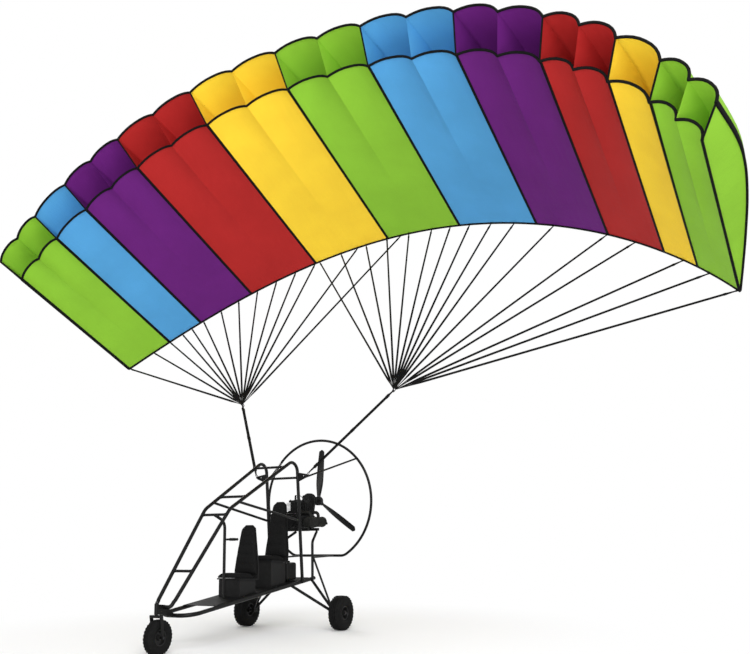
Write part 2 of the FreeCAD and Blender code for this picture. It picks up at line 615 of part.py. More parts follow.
# Propeller: hub and three blades
PROP_R = flat_drop - GUARD_OD / 2 - PROP_CLEAR
HUB_R = 55.0
hub = rod(0, PROP_Y - 25, PROP_Y + 25, HUB_Z, HUB_R)
hub = hub.fuse(rod(0, PROP_Y + 25, PROP_Y + 45, HUB_Z, 30.0))
hub = hub.cut(rod(0, PROP_Y - 45, PROP_Y - 5, HUB_Z, SHAFT_R + GAP))
save("propeller_hub", hub)
blades = []
for k in range(3):
    secs = []
    for q, chord, thick, twist in ((0.0, 44.0, 30.0, 38.0), (0.15, 76.0, 20.0, 30.0), (0.45, 88.0, 14.0, 20.0),
                                   (0.82, 80.0, 9.0, 13.0), (0.97, 66.0, 6.0, 11.0), (1.0, 40.0, 5.0, 10.0)):
        r = HUB_R + GAP + q * (PROP_R - HUB_R - GAP)
        tw = math.radians(twist)
        ring_pts = []
        for u, v in ((-0.5, 0.0), (-0.3, 0.42), (0.05, 0.5), (0.5, 0.0), (0.05, -0.28), (-0.3, -0.25)):
            cx = u * chord
            cy = v * thick
            ring_pts.append(Vector(cx * math.cos(tw) - cy * math.sin(tw), PROP_Y + cx * math.sin(tw) + cy * math.cos(tw), HUB_Z + r))
        secs.append(Part.makePolygon(ring_pts + [ring_pts[0]]))
    b = Part.makeLoft(secs, True, True)
    b.rotate(Vector(0, PROP_Y, HUB_Z), Vector(0, 1, 0), 120.0 * k + BLADE_TURN)
    blades.append(b.cut(rod(0, PROP_Y - 30, PROP_Y + 30, HUB_Z, HUB_R + GAP)))
save("propeller_blades", compound(blades))


# Canopy: every panel has one or two air cells; a cell is a top skin and a bottom skin
# that bulge between ribs, open in front and closed at the trailing edge.

def chord_at(s):
    return CHORD * (1.0 - CHORD_TAPER * abs(s) ** 3)


def place(s, y, z):
    # A point of the section at arc position s, tilted nose up about mid chord.
    y = y - TIP_FORWARD * s * s
    phi = math.radians(ARC_HALF * s)
    r = ARC_R + z
    x = r * math.sin(phi)
    zz = r * math.cos(phi) - ARC_R
    a = math.radians(-NOSE_UP)
    yy = math.cos(a) * y - math.sin(a) * zz
    zr = math.sin(a) * y + math.cos(a) * zz
    return Vector(x, CANOPY_Y + yy, CANOPY_Z + zr)


TOP_SHAPE = [(0.10, 0.93), (0.26, 1.0), (0.45, 0.86), (0.66, 0.58), (0.84, 0.30)]
LOW_SHAPE = [0.30, 0.65]


def top_line(s, bulge):
    c = chord_at(s)
    k = c / CHORD
    rise = bulge * BULGE
    pts = [(-c / 2 - LIP_AHEAD * k, LIP_HIGH * k + rise)]
    pts += [(-c / 2 + u * c, THICK_MAX * k * v + rise * (1 - u)) for u, v in TOP_SHAPE]
    return pts + [(c / 2, TAIL_THICK)]


def low_line(s, bulge):
    c = chord_at(s)
    rise = bulge * BULGE
    pts = [(-c / 2, 0.85 * rise)]
    pts += [(-c / 2 + u * c, 0.85 * rise * (1 - u) ** 2) for u in LOW_SHAPE]
    return pts + [(c / 2, 0.0)]


def wire_at(s, points):
    p = [place(s, y, z) for y, z in points]
    return Part.makePolygon(p + [p[0]])


def top_wire(s, bulge):
    # Strip of cloth over the top, turned down at the tail.
    o = top_line(s, bulge)
    tail = o[-1][0]
    pts = o + [(tail, SKIN + GAP), (tail - SKIN, SKIN + GAP), (tail - SKIN, TAIL_THICK - SKIN)]
    return wire_at(s, pts + [(y, z - SKIN) for y, z in reversed(o[:-1])])


def low_wire(s, bulge):
    o = low_line(s, bulge)
    return wire_at(s, o + [(y, z + SKIN) for y, z in reversed(o)])


def rib_wire(s):
    off = SKIN + GAP
    top = [(y, z - off) for y, z in top_line(s, 0.0)]
    low = [(y, z + off) for y, z in low_line(s, 0.0)]
    top[-1] = (top[-1][0] - off, top[-1][1])
    low[-1] = (low[-1][0] - off, low[-1][1])
    return wire_at(s, top + list(reversed(low)))


mm = 180.0 / math.pi / ARC_R / ARC_HALF
for k in range(11):
    a = SEAMS[k]
    b = SEAMS[k + 1]
    cells = 1 if k in (1, 9) else 2
    step = (b - a) / cells
    stations = []
    for i in range(2 * cells + 1):
        stations.append((a + i * step / 2, float(i % 2)))
    pieces = [Part.makeLoft([top_wire(s, f) for s, f in stations], True, True),
              Part.makeLoft([low_wire(s, f) for s, f in stations], True, True)]
    for i in range(cells + 1):
        s = a + i * step
        if i == 0:
            s += (SKIN + GAP) / 2 * mm
        if i == cells:
            s -= (SKIN + GAP) / 2 * mm
        pieces.append(Part.makeLoft([rib_wire(s - SKIN / 2 * mm), rib_wire(s + SKIN / 2 * mm)], True, True))
    save("canopy_panel_%02d" % (k + 1), compound(pieces))


# Rigging: risers and suspension lines to the trailing edge

def rib_positions():
    out = []
    for k in range(11):
        cells = 1 if k in (1, 9) else 2
        step = (SEAMS[k + 1] - SEAMS[k]) / cells
        for i in range(2 * cells):
            out.append(SEAMS[k] + i * step / 2)
    out.append(SEAMS[11])
    return out


RIBS = rib_positions()


def edge_point(seam, inward):
    # Point on the underside at a seam number, that far in from the trailing edge.
    k = min(int(seam), 10)
    s = SEAMS[k] + (seam - k) * (SEAMS[k + 1] - SEAMS[k])
    s = max(min(s, SEAMS[11] - 0.002), SEAMS[0] + 0.002)
    for i in range(len(RIBS) - 1):
        if RIBS[i] <= s <= RIBS[i + 1]:
            a = place(RIBS[i], chord_at(RIBS[i]) / 2 - inward, 0.0)
            b = place(RIBS[i + 1], chord_at(RIBS[i + 1]) / 2 - inward, 0.0)
            t = (s - RIBS[i]) / (RIBS[i + 1] - RIBS[i])
            return a + (b - a) * t
    return place(s, chord_at(s) / 2, 0.0)


def line_solid(a, b, r_line):
    # Six-sided cord that thins towards both of its ends.
    d = b - a
    n = d.Length
    d.normalize()
    rings = []
    for along, r in ((LINK_R + GAP, 0.8), (400.0, r_line), (n - 40.0, r_line), (n - 0.4, 1.2)):
        pts = [Vector(r * math.cos(math.radians(60 * i)), r * math.sin(math.radians(60 * i)), along) for i in range(6)]
        rings.append(Part.makePolygon(pts + [pts[0]]))
    s = Part.makeLoft(rings, True, True)
    s.Placement = FreeCAD.Placement(a, FreeCAD.Rotation(Vector(0, 0, 1), d))
    return s


def bracket(sx):
    # Gusset that stands out from the cage's rear leg, with the shackle hole and a spare one.
    x_in = CAGE_HALF_TOP + 8
    x_out = CAGE_HALF_TOP + BRACKET_OUT
    y0 = down_tube(sx, BRACKET_Z)[1] - BRACKET_THICK / 2
    pts = [(x_in, BRACKET_Z - 70), (x_out + 4, BRACKET_Z - 18), (x_out + 18, BRACKET_Z - 4), (x_out + 18, BRACKET_Z + 6),
           (x_out + 4, BRACKET_Z + 18), (x_in, BRACKET_Z + 40)]
    wire = Part.makePolygon([Vector(sx * p[0], y0, p[1]) for p in pts + [pts[0]]])
    b = Part.Face(wire).extrude(Vector(0, BRACKET_THICK, 0))
    for x in (x_out, x_out - SPARE_HOLE_IN):
        b = b.cut(rod(sx * x, y0 - 10, y0 + BRACKET_THICK + 10, BRACKET_Z, BRACKET_HOLE_R))
    return b


brackets = []
for side, sx in SIDES:
    brackets.append(coped(bracket(sx), [cage_fat[side]]))
save("riser_brackets", compound(brackets))

for side, sx, seams in (("starboard", -1, STARBOARD_LINES), ("port", 1, PORT_LINES)):
    c = Vector(sx * LINK_X, LINK_Y, LINK_Z)
    # The inner lines of the two fans cross; one is sewn further in so that they pass clear.
    ends = [edge_point(q, PASS_IN if q == PASS_SEAM else 4.0) for q in seams]
    worst = 180.0
    for i in range(len(ends) - 1):
        ang = math.degrees((ends[i] - c).getAngle(ends[i + 1] - c))
        worst = min(worst, ang)
    print(side, "closest lines", round(worst, 2), "deg; lengths", [round((e - c).Length) for e in ends])
    save("lines_" + side, compound([line_solid(c, e, LINE_OD / 2) for e in ends]))
    # Riser: shackle on its pin, strap, and the gathering knot of the lines
    foot = Vector(sx * (CAGE_HALF_TOP + BRACKET_OUT), down_tube(sx, BRACKET_Z)[1], BRACKET_Z)
    lean = Vector(c.x - foot.x, 0, c.z - foot.z).normalize()
    bow_at = foot + lean * 46.0
    off = Vector(0, 17.0, 0)
    shackle = tube([tuple(foot + off), tuple(bow_at + off), tuple(bow_at - off), tuple(foot - off)], 9.0, 12.0)
    shackle = shackle.fuse(rod(foot.x, foot.y - 24, foot.y + 24, foot.z, BRACKET_HOLE_R - 0.25))
    d = c - bow_at
    strap = box(-STRAP_WIDE / 2, STRAP_WIDE / 2, -STRAP_THICK / 2, STRAP_THICK / 2, 0, d.Length)
    strap.Placement = FreeCAD.Placement(bow_at, FreeCAD.Rotation(Vector(0, 0, 1), d))
    riser = strap.fuse([Part.makeSphere(LINK_R, c), shackle])
    save("riser_" + side, riser)
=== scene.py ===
import json
import math

import bmesh
import bpy
from mathutils import Matrix, Vector, noise


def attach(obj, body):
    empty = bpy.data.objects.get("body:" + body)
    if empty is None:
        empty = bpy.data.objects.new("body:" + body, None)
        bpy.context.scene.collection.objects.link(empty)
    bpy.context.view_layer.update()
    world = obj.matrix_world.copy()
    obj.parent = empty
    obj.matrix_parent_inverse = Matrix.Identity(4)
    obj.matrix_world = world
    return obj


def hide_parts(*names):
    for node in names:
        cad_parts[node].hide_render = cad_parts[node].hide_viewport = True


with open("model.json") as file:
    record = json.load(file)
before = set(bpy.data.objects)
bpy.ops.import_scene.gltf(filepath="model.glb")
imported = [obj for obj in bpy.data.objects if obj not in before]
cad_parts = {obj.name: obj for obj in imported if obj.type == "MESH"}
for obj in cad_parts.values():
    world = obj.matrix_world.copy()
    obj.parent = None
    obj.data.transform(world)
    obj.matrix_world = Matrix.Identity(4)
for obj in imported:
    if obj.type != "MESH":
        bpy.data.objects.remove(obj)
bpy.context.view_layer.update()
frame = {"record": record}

# The looks of a two-seat powered parachute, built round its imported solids: cloth skins and
# ribs, cords, webbing, tyre tread, fasteners, seat pads, and the stage. Lengths are in metres
# in the part's frame (+Z up, -Y to the nose, +X to port), angles in radians.

X_AXIS, Y_AXIS, Z_AXIS = Vector((1, 0, 0)), Vector((0, 1, 0)), Vector((0, 0, 1))
SIDES = (("port", 1), ("starboard", -1))

# Measures shared with the part

MID_Y = 1.393                       # working points are measured from under the rear seat

RAIL_NOSE = (-1.500, 0.345)         # (y, z) of the floor rails' centre line at the nose
RAIL_REAR = (0.760, 0.560)          # and at the rear
RAIL_X = 0.220
CAGE_FOOT, CAGE_KNEE = (0.105, -1.610, 0.495), (0.165, -0.850, 1.365)
CAGE_TOP_X, CAGE_TOP_Y, CAGE_TOP_Z = 0.220, 0.350, 1.960
CAGE_DOWN_Y = 0.470                 # where the cage's rear leg meets the rail
CAGE_SINK = 0.010                   # how far its end lies below the rail's centre line
BRACKET_X, BRACKET_Z = 0.350, 1.745
LINK_X, LINK_Y, LINK_Z = 1.150, 1.110, 2.780

TRACK_HALF, MAIN_Y, MAIN_R, MAIN_W = 0.660, 0.600, 0.190, 0.150
NOSE_Y, NOSE_R, NOSE_W = -1.720, 0.165, 0.100
RIM_R = 0.076

CYLINDERS_Y = (0.660, 0.835)
CASE_TOP = 1.290
CASE_SIDE = 0.1152
CASE_FRONT = 0.545
CRANK_Z = 1.140 + 0.56 * 0.150
PORT_EXHAUST_Z = CASE_TOP + 0.034
INTAKE_Z = CASE_TOP + 0.026
MUFFLER_X, MUFFLER_Z = 0.215, 1.210
PROP_Y, HUB_Z, PROP_R = 1.190, 1.470, 0.6418
BLADE_TURN = math.radians(5.0)

RAIL_R, CAGE_R, POST_R, BRACE_R = 0.021, 0.019, 0.016, 0.014    # of the frame's tubes
POST_Y = 0.690
PAN_THICK = 0.004

# radius and height of each kind of bolt head
HEAD_BOLT, FLANGE_BOLT = (0.006, 0.009), (0.0045, 0.008)
CASE_BOLT, FRONT_BOLT = (0.006, 0.006), (0.005, 0.006)
RIM_BOLT, HUB_BOLT = (0.005, 0.006), (0.005, 0.008)
NOSE_BOLT, FLOOR_BOLT = (0.006, 0.006), (0.005, 0.005)


def at(x, y, z):
    """A working point in the part's frame."""
    return Vector((x, y - MID_Y, z))


def rail_z(y):
    """Height of the floor rails' centre line."""
    (y0, z0), (y1, z1) = RAIL_NOSE, RAIL_REAR
    return z0 + (y - y0) / (y1 - y0) * (z1 - z0)


CAGE_DROP = CAGE_TOP_Z - rail_z(CAGE_DOWN_Y) + CAGE_SINK

# Mesh tools


def circle(n, phase=0.0):
    """n angles, spaced evenly round a circle."""
    return [2 * math.pi * (i + phase) / n for i in range(n)]


def square_to(axis):
    """The unit axis and two unit vectors square to it."""
    axis = Vector(axis).normalized()
    side = axis.orthogonal().normalized()
    return axis, side, axis.cross(side)


def lerp(p, q, t):
    return tuple(a + t * (b - a) for a, b in zip(p, q))


def spline(points, n):
    """Catmull-Rom curve through the points: n samples, evenly spaced in its parameter."""
    p = [Vector(q) for q in points]
    p = [p[0] * 2 - p[1]] + p + [p[-1] * 2 - p[-2]]
    spans = len(p) - 3
    out = []
    for i in range(n):
        t = i / (n - 1) * spans
        k = min(int(t), spans - 1)
        u = t - k
        a, b, c, d = p[k:k + 4]
        out.append(0.5 * ((2 * b) + (c - a) * u + (2 * a - 5 * b + 4 * c - d) * u * u
                          + (3 * b - a - 3 * c + d) * u ** 3))
    return out


def spline_2d(points, n):
    return [(p.x, p.y) for p in spline([(a, b, 0) for a, b in points], n)]


class Shape:
    """Vertices, faces and optional UVs that become one object."""

    def __init__(self):
        self.v = []
        self.f = []
        self.uv = []

    def quad_grid(self, rows, uvs=None, close=False):
        """Quads between rows of points; close joins each row's end to its start."""
        first = len(self.v)
        n = len(rows[0])
        for row in rows:
            self.v.extend(row)
        for i in range(len(rows) - 1):
            low, high = first + i * n, first + (i + 1) * n
            for j in range(n if close else n - 1):
                k = (j + 1) % n
                self.f.append((low + j, low + k, high + k, high + j))
                if uvs:
                    self.uv.append((uvs[i][j], uvs[i][k], uvs[i + 1][k], uvs[i + 1][j]))

    def cap(self, ring, flip=False):
        face = list(range(len(self.v), len(self.v) + len(ring)))
        self.v.extend(ring)
        self.f.append(tuple(reversed(face)) if flip else tuple(face))

    def solid(self, rings):
        """Closed body through rings of points, capped at both ends."""
        self.quad_grid(rings, close=True)
        self.cap(rings[0], flip=True)
        self.cap(rings[-1])

    def tube(self, points, radii, n=12, caps=True):
        """Round tube along the points, with one radius or one for each point."""
        pts = [Vector(p) for p in points]
        if not isinstance(radii, (list, tuple)):
            radii = [radii] * len(pts)
        side = (pts[1] - pts[0]).normalized().orthogonal().normalized()
        rings = []
        for i, p in enumerate(pts):
            along = (pts[min(i + 1, len(pts) - 1)] - pts[max(i - 1, 0)]).normalized()
            side = (side - along * side.dot(along)).normalized()
            up = along.cross(side)
            rings.append([p + (side * math.cos(a) + up * math.sin(a)) * radii[i] for a in circle(n)])
        if caps:
            self.solid(rings)
        else:
            self.quad_grid(rings, close=True)

    def lathe(self, profile, centre, axis, n=48):
        """Turned body; profile is a closed run of (radius, distance along the axis)."""
        axis, side, up = square_to(axis)
        rings = []
        for r, t in profile + [profile[0]]:
            rings.append([Vector(centre) + axis * t + (side * math.cos(a) + up * math.sin(a)) * r
                          for a in circle(n)])
        self.quad_grid(rings, close=True)

    def block(self, centre, size, bevel, turn=None):
        """Box with bevelled edges; turn is its 3 by 3 rotation."""
        cx, cy, cz = (s / 2 for s in size)
        turn = Matrix.Identity(3) if turn is None else turn
        rings = []
        for z, inset in ((-cz, bevel), (-cz + bevel, 0.0), (cz - bevel, 0.0), (cz, bevel)):
            x, y = cx - inset, cy - inset
            ring = [(-x + bevel, -y), (x - bevel, -y), (x, -y + bevel), (x, y - bevel),
                    (x - bevel, y), (-x + bevel, y), (-x, y - bevel), (-x, -y + bevel)]
            rings.append([Vector(centre) + turn @ Vector((p, q, z)) for p, q in ring])
        self.solid(rings)

    def torus(self, centre, axis, big, small, n=24, m=8):
        axis, side, up = square_to(axis)
        rings = []
        for i in range(n + 1):
            a = 2 * math.pi * i / n
            out = side * math.cos(a) + up * math.sin(a)
            c = Vector(centre) + out * big
            rings.append([c + (out * math.cos(b) + axis * math.sin(b)) * small for b in circle(m)])
        self.quad_grid(rings, close=True)

    def bolt(self, p, axis, r, h):
        """Washer and six-sided head that stand on the point p."""
        axis = Vector(axis).normalized()
        washer_top = Vector(p) + axis * h * 0.25
        self.tube([Vector(p), washer_top], r * 1.35, n=16)
        self.tube([washer_top, Vector(p) + axis * h], [r, r * 0.96], n=6)

    def make(self, name, material, body, slot, smooth=40.0, replaces=()):
        """The object; edges sharper than smooth degrees stay sharp."""
        mesh = bpy.data.meshes.new(name)
        mesh.from_pydata([tuple(p) for p in self.v], [], self.f)
        if self.uv:
            layer = mesh.uv_layers.new(name=CLOTH_UV)
            corners = [corner for quad in self.uv for corner in quad]
            for i, corner in enumerate(corners):
                layer.data[i].uv = corner
        mesh.validate()
        mesh.update()
        piece = bpy.data.objects.new(name, mesh)
        bpy.context.collection.objects.link(piece)
        bm = bmesh.new()
        bm.from_mesh(mesh)
        bmesh.ops.remove_doubles(bm, verts=bm.verts, dist=1e-6)
        bmesh.ops.recalc_face_normals(bm, faces=bm.faces)
        bm.to_mesh(mesh)
        bm.free()
        shade(mesh, smooth)
        mesh.materials.append(material)
        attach(piece, body)
        if replaces:
            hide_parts(*replaces)
        return piece


def shade(mesh, smooth):
    for poly in mesh.polygons:
        poly.use_smooth = True
    mesh.set_sharp_from_angle(angle=math.radians(smooth))


# Materials

CLOTH_UV = "cloth"                  # UV layer of the skins and ribs, in metres along arc and chord
THREAD = 0.006                      # half the spacing of the ripstop's thick threads
SHINE_VARY = 0.1                    # how far roughness wanders on hard materials
THROUGH = 0.2                       # share of light that goes through thin cloth


def new_material(name):
    material = bpy.data.materials.new(name)
    material.use_nodes = True
    tree = material.node_tree
    return material, tree, tree.nodes["Principled BSDF"]


def add(tree, kind, values=None, **settings):
    """A shader node; settings are its own fields, values those of its inputs by name or number."""
    node = tree.nodes.new("ShaderNode" + kind)
    for field, value in settings.items():
        setattr(node, field, value)
    for key, value in (values or {}).items():
        node.inputs[key].default_value = value
    return node


def shades(tree, colour, positions, factors):
    """Ramp between a darker and a lighter shade of one colour."""
    ramp = add(tree, "ValToRGB")
    for element, position, factor in zip(ramp.color_ramp.elements, positions, factors):
        element.position = position
        element.color = [min(1, c * factor) for c in colour] + [1]
    return ramp


def mix_into(tree, output, share, first, second):
    """Two shaders mixed into the output node; share is a number or a socket."""
    mixer = add(tree, "MixShader")
    if isinstance(share, float):
        mixer.inputs[0].default_value = share
    else:
        tree.links.new(share, mixer.inputs[0])
    tree.links.new(first.outputs[0], mixer.inputs[1])
    tree.links.new(second.outputs[0], mixer.inputs[2])
    tree.links.new(mixer.outputs[0], tree.nodes[output].inputs["Surface"])


def seen_directly(tree):
    """Socket that is 1 for camera and mirror rays, and 0 for rays that only carry light."""
    path = add(tree, "LightPath")
    either = add(tree, "Math", operation="MAXIMUM")
    tree.links.new(path.outputs["Is Camera Ray"], either.inputs[0])
    tree.links.new(path.outputs["Is Glossy Ray"], either.inputs[1])
    return either.outputs[0]


def surface(name, colour, rough, vary, grain, bump_size, bump_mm, spec=0.25, metallic=0.0):
    """Hard material: colour and roughness wander a little over it, under a fine bump."""
    material, tree, skin = new_material(name)
    link = tree.links.new
    skin.inputs["Metallic"].default_value = metallic
    skin.inputs["Specular IOR Level"].default_value = spec
    where = add(tree, "TexCoord")
    blotches = add(tree, "TexNoise", {"Scale": grain, "Detail": 4.0})
    ramp = shades(tree, colour, (0.3, 0.7), (1 - vary, 1 + vary))
    shine = add(tree, "MapRange", {"To Min": max(0.02, rough - SHINE_VARY),
                                   "To Max": min(1.0, rough + SHINE_VARY)})
    fine = add(tree, "TexNoise", {"Scale": bump_size, "Detail": 3.0})
    bump = add(tree, "Bump", {"Distance": bump_mm / 1000.0, "Strength": 1.0})
    link(where.outputs["Object"], blotches.inputs["Vector"])
    link(where.outputs["Object"], fine.inputs["Vector"])
    link(blotches.outputs["Fac"], ramp.inputs["Fac"])
    link(ramp.outputs["Color"], skin.inputs["Base Color"])
    link(blotches.outputs["Fac"], shine.inputs["Value"])
    link(shine.outputs["Result"], skin.inputs["Roughness"])
    link(fine.outputs["Fac"], bump.inputs["Height"])
    link(bump.outputs["Normal"], skin.inputs["Normal"])
    return material


def black(name, level, rough, vary, grain, bump_size, bump_mm, spec):
    return surface(name, (level, level, level), rough, vary, grain, bump_size, bump_mm, spec)


def cloth(name, colour):
    """Coated ripstop: a raised grid of threads, soft creases, slight fading, and thin to light."""
    material, tree, skin = new_material(name)
    link = tree.links.new
    skin.inputs["Roughness"].default_value = 0.55
    skin.inputs["Specular IOR Level"].default_value = 0.06
    where = add(tree, "TexCoord")
    uv = add(tree, "UVMap", uv_map=CLOTH_UV)

    # grid of thick threads, along the arc and along the chord
    across = add(tree, "SeparateXYZ")
    link(uv.outputs["UV"], across.inputs["Vector"])
    grid = add(tree, "Math", operation="MAXIMUM")
    for i, axis in enumerate(("X", "Y")):
        spacing = add(tree, "Math", {1: THREAD}, operation="PINGPONG")
        thread = add(tree, "MapRange", {"From Min": THREAD * 0.06, "From Max": THREAD * 0.16,
                                        "To Min": 1.0, "To Max": 0.0})
        link(across.outputs[axis], spacing.inputs[0])
        link(spacing.outputs[0], thread.inputs["Value"])
        link(thread.outputs["Result"], grid.inputs[i])

    # colour: faded in patches, darker on the threads
    fading = add(tree, "TexNoise", {"Scale": 1.6, "Detail": 5.0})
    ramp = shades(tree, colour, (0.3, 0.72), (0.93, 1.05))
    half_grid = add(tree, "Math", {1: 0.5}, operation="MULTIPLY")
    dyed = add(tree, "Mix", {7: [c * 0.8 for c in colour] + [1]}, data_type="RGBA")
    link(where.outputs["Object"], fading.inputs["Vector"])
    link(fading.outputs["Fac"], ramp.inputs["Fac"])
    link(grid.outputs[0], half_grid.inputs[0])
    link(half_grid.outputs[0], dyed.inputs[0])
    link(ramp.outputs["Color"], dyed.inputs[6])
    link(dyed.outputs[2], skin.inputs["Base Color"])

    # relief: creases that run along the chord, and the threads on top of them
    stretch = add(tree, "Mapping", {"Scale": (9.0, 2.2, 1.0)})
    creases = add(tree, "TexNoise", {"Scale": 1.0, "Detail": 4.0})
    crease_bump = add(tree, "Bump", {"Distance": 0.012, "Strength": 0.6})
    thread_bump = add(tree, "Bump", {"Distance": 0.0003})
    link(uv.outputs["UV"], stretch.inputs["Vector"])
    link(stretch.outputs["Vector"], creases.inputs["Vector"])
    link(creases.outputs["Fac"], crease_bump.inputs["Height"])
    link(grid.outputs[0], thread_bump.inputs["Height"])
    link(crease_bump.outputs["Normal"], thread_bump.inputs["Normal"])
    link(thread_bump.outputs["Normal"], skin.inputs["Normal"])

    lit_through = add(tree, "BsdfTranslucent")
    link(dyed.outputs[2], lit_through.inputs["Color"])
    link(thread_bump.outputs["Normal"], lit_through.inputs["Normal"])
    mix_into(tree, "Material Output", THROUGH, skin, lit_through)
    return material


COLOURS = {
    "green": (0.285, 0.580, 0.046),
    "light_blue": (0.100, 0.385, 0.720),
    "purple": (0.152, 0.019, 0.205),
    "red": (0.470, 0.026, 0.025),
    "yellow": (0.990, 0.690, 0.048),
}
PANEL_COLOURS = (list(COLOURS) * 3)[:11]    # from the starboard tip to the port tip
CLOTH = {k: cloth("ripstop " + k, c) for k, c in COLOURS.items()}
# name, level of black, roughness, variation, grain, bump size, bump height in mm, specular
TAPE = black("black seam tape", 0.006, 0.75, 0.3, 60, 500, 0.4, 0.06)
CORD = black("braided cord", 0.005, 0.7, 0.3, 200, 700, 0.5, 0.06)
WEB = black("woven webbing", 0.006, 0.78, 0.3, 120, 600, 0.6, 0.06)
FRAME = black("black powder coat", 0.005, 0.36, 0.25, 14, 420, 0.12, 0.12)
RING = black("black coated alloy tube", 0.005, 0.34, 0.25, 12, 380, 0.1, 0.12)
RUBBER = black("tyre rubber", 0.006, 0.8, 0.35, 25, 350, 0.4, 0.08)
RIM = black("satin black rim", 0.008, 0.42, 0.2, 20, 300, 0.08, 0.2)
CAST = black("black cast alloy", 0.007, 0.55, 0.35, 35, 520, 0.5, 0.14)
PLASTIC = black("black moulded plastic", 0.006, 0.5, 0.2, 18, 480, 0.2, 0.1)
BLADE = black("satin black blade", 0.005, 0.35, 0.3, 50, 120, 0.05, 0.15)
SEAT = black("seat cloth", 0.007, 0.9, 0.35, 90, 650, 0.7, 0.06)
PAN = black("black coated floor", 0.005, 0.7, 0.3, 10, 90, 0.6, 0.06)
HOT = surface("heat-proof black", (0.010, 0.010, 0.009), 0.7, 0.4, 16, 300, 0.3, 0.1)
STEEL = surface("blackened steel", (0.030, 0.030, 0.032), 0.4, 0.25, 40, 500, 0.05, metallic=0.9)

# Canopy

ARC_R = 6.110                       # radius of the lower skin's arc
ARC_HALF = math.radians(59.6)       # turn of the arc from the middle to s = 1
CHORD = 3.470
CHORD_TAPER = 0.30
TIP_FORWARD = 0.250
LIP_HIGH = 0.310                    # upper lip above the lower one
LIP_AHEAD = 0.450                   # and ahead of it
THICK = 0.540
TAIL = 0.014
CANOPY_Y = 3.080
CANOPY_Z = 6.790
NOSE_UP = math.radians(24.0)
BULGE = 0.120                       # how far a cell's top swells between its ribs
LOW_BULGE = 0.85                    # share of that on the lower skin
PUFF_POWER = 2.4                    # shape of the swelling: 2 would be a parabola, more is squarer
SEAMS = [-0.933, -0.802, -0.701, -0.537, -0.331, -0.107, 0.107, 0.331, 0.537, 0.701, 0.802, 0.933]
PANELS = len(SEAMS) - 1
ONE_CELL = (1, 9)                   # panels with one cell, all others have two
TOP_SHAPE = [(0.10, 0.93), (0.26, 1.0), (0.45, 0.86), (0.66, 0.58), (0.84, 0.30)]
LOW_SHAPE = [0.30, 0.65]
CHORD_POINTS = 110
CELL_STEPS = 12
RIB_POINTS = 40
RIB_INSET = 0.0004                  # outer ribs stand this far in from the tips of their panel, in s

GATHERS = 31                        # small folds along a seam
GATHER_HIGH = 0.0035
GATHER_REACH, GATHER_START = 0.07, 0.02

TAPE_HALF, TIP_TAPE_HALF = 0.022, 0.034
TAPE_TOP, TAPE_FOOT = 0.0055, 0.0012    # a tape's two faces above the skin
LIP_ROLL, TRAILING_ROLL, MOUTH_ROLL, TIP_ROLL = 0.018, 0.023, 0.012, 0.016
TRAILING_OUT = 0.004                # the trailing edge's roll, behind the skins' end


def along_arc(s):
    """Length along the lower skin's arc."""
    return s * ARC_HALF * ARC_R


def chord_at(s):
    return CHORD * (1.0 - CHORD_TAPER * abs(s) ** 3)


def place(s, y, z):
    """Arc place s, distance y behind mid-chord and height z over the lower skin, as a point."""
    y = y - TIP_FORWARD * s * s
    phi = ARC_HALF * s
    r = ARC_R + z
    zz = r * math.cos(phi) - ARC_R
    a = -NOSE_UP
    return at(r * math.sin(phi),
              CANOPY_Y + math.cos(a) * y - math.sin(a) * zz,
              CANOPY_Z + math.sin(a) * y + math.cos(a) * zz)


CELLS = []                          # (panel, s of the starboard rib, width in s)
for k in range(PANELS):
    n = 1 if k in ONE_CELL else 2
    step = (SEAMS[k + 1] - SEAMS[k]) / n
    for i in range(n):
        CELLS.append((k, SEAMS[k] + i * step, step))


def cell_places(s0, step):
    """Places across a cell, closer together at its ribs."""
    return [s0 + step * (0.5 - 0.5 * math.cos(math.pi * j / CELL_STEPS)) for j in range(CELL_STEPS + 1)]


def puff(s):
    """Share of the full bulge at a place: 0 at the ribs, 1 in the middle of a cell."""
    for _, s0, step in CELLS:
        if s0 - 1e-9 <= s <= s0 + step + 1e-9:
            v = min(max((s - s0) / step, 0.0), 1.0)
            return 1.0 - abs(2.0 * v - 1.0) ** PUFF_POWER
    return 0.0


def section(side, s, count):
    """A skin's curve at arc place s, from lip to trailing edge, as (y, z)."""
    c = chord_at(s)
    k = c / CHORD
    rise = BULGE * puff(s)
    if side == "top":
        pts = [(-c / 2 - LIP_AHEAD * k, LIP_HIGH * k + rise)]
        pts += [(-c / 2 + u * c, THICK * k * v + rise * (1 - u)) for u, v in TOP_SHAPE]
        pts.append((c / 2, TAIL))
    else:
        pts = [(-c / 2, LOW_BULGE * rise)]
        pts += [(-c / 2 + u * c, LOW_BULGE * rise * (1 - u) ** 2) for u in LOW_SHAPE]
        pts.append((c / 2, 0.0))
    return spline_2d(pts, count)


def skin_rows(side, s_list, out=0.0):
    """Rows of points along the chord with their UVs; out lifts them off the skin's outer face."""
    lift = out if side == "top" else -out
    sections = [section(side, s, CHORD_POINTS) for s in s_list]
    rows = [[place(s, y, z + lift) for y, z in sec] for s, sec in zip(s_list, sections)]
    uvs = [[(along_arc(s), y) for y, _ in sec] for s, sec in zip(s_list, sections)]
    return rows, uvs


def gather(s, s0, step, t):
    """Height of the small gathers that run away from a cell's seams, at share t of the chord."""
    edge = along_arc(min(s - s0, s0 + step - s))
    start = 3.0 * math.sin(9.1 * s0)    # another phase in each cell
    wave = math.sin(2 * math.pi * t * GATHERS + start)
    return GATHER_HIGH * wave * math.exp(-edge / GATHER_REACH) * (1.0 - math.exp(-edge / GATHER_START))


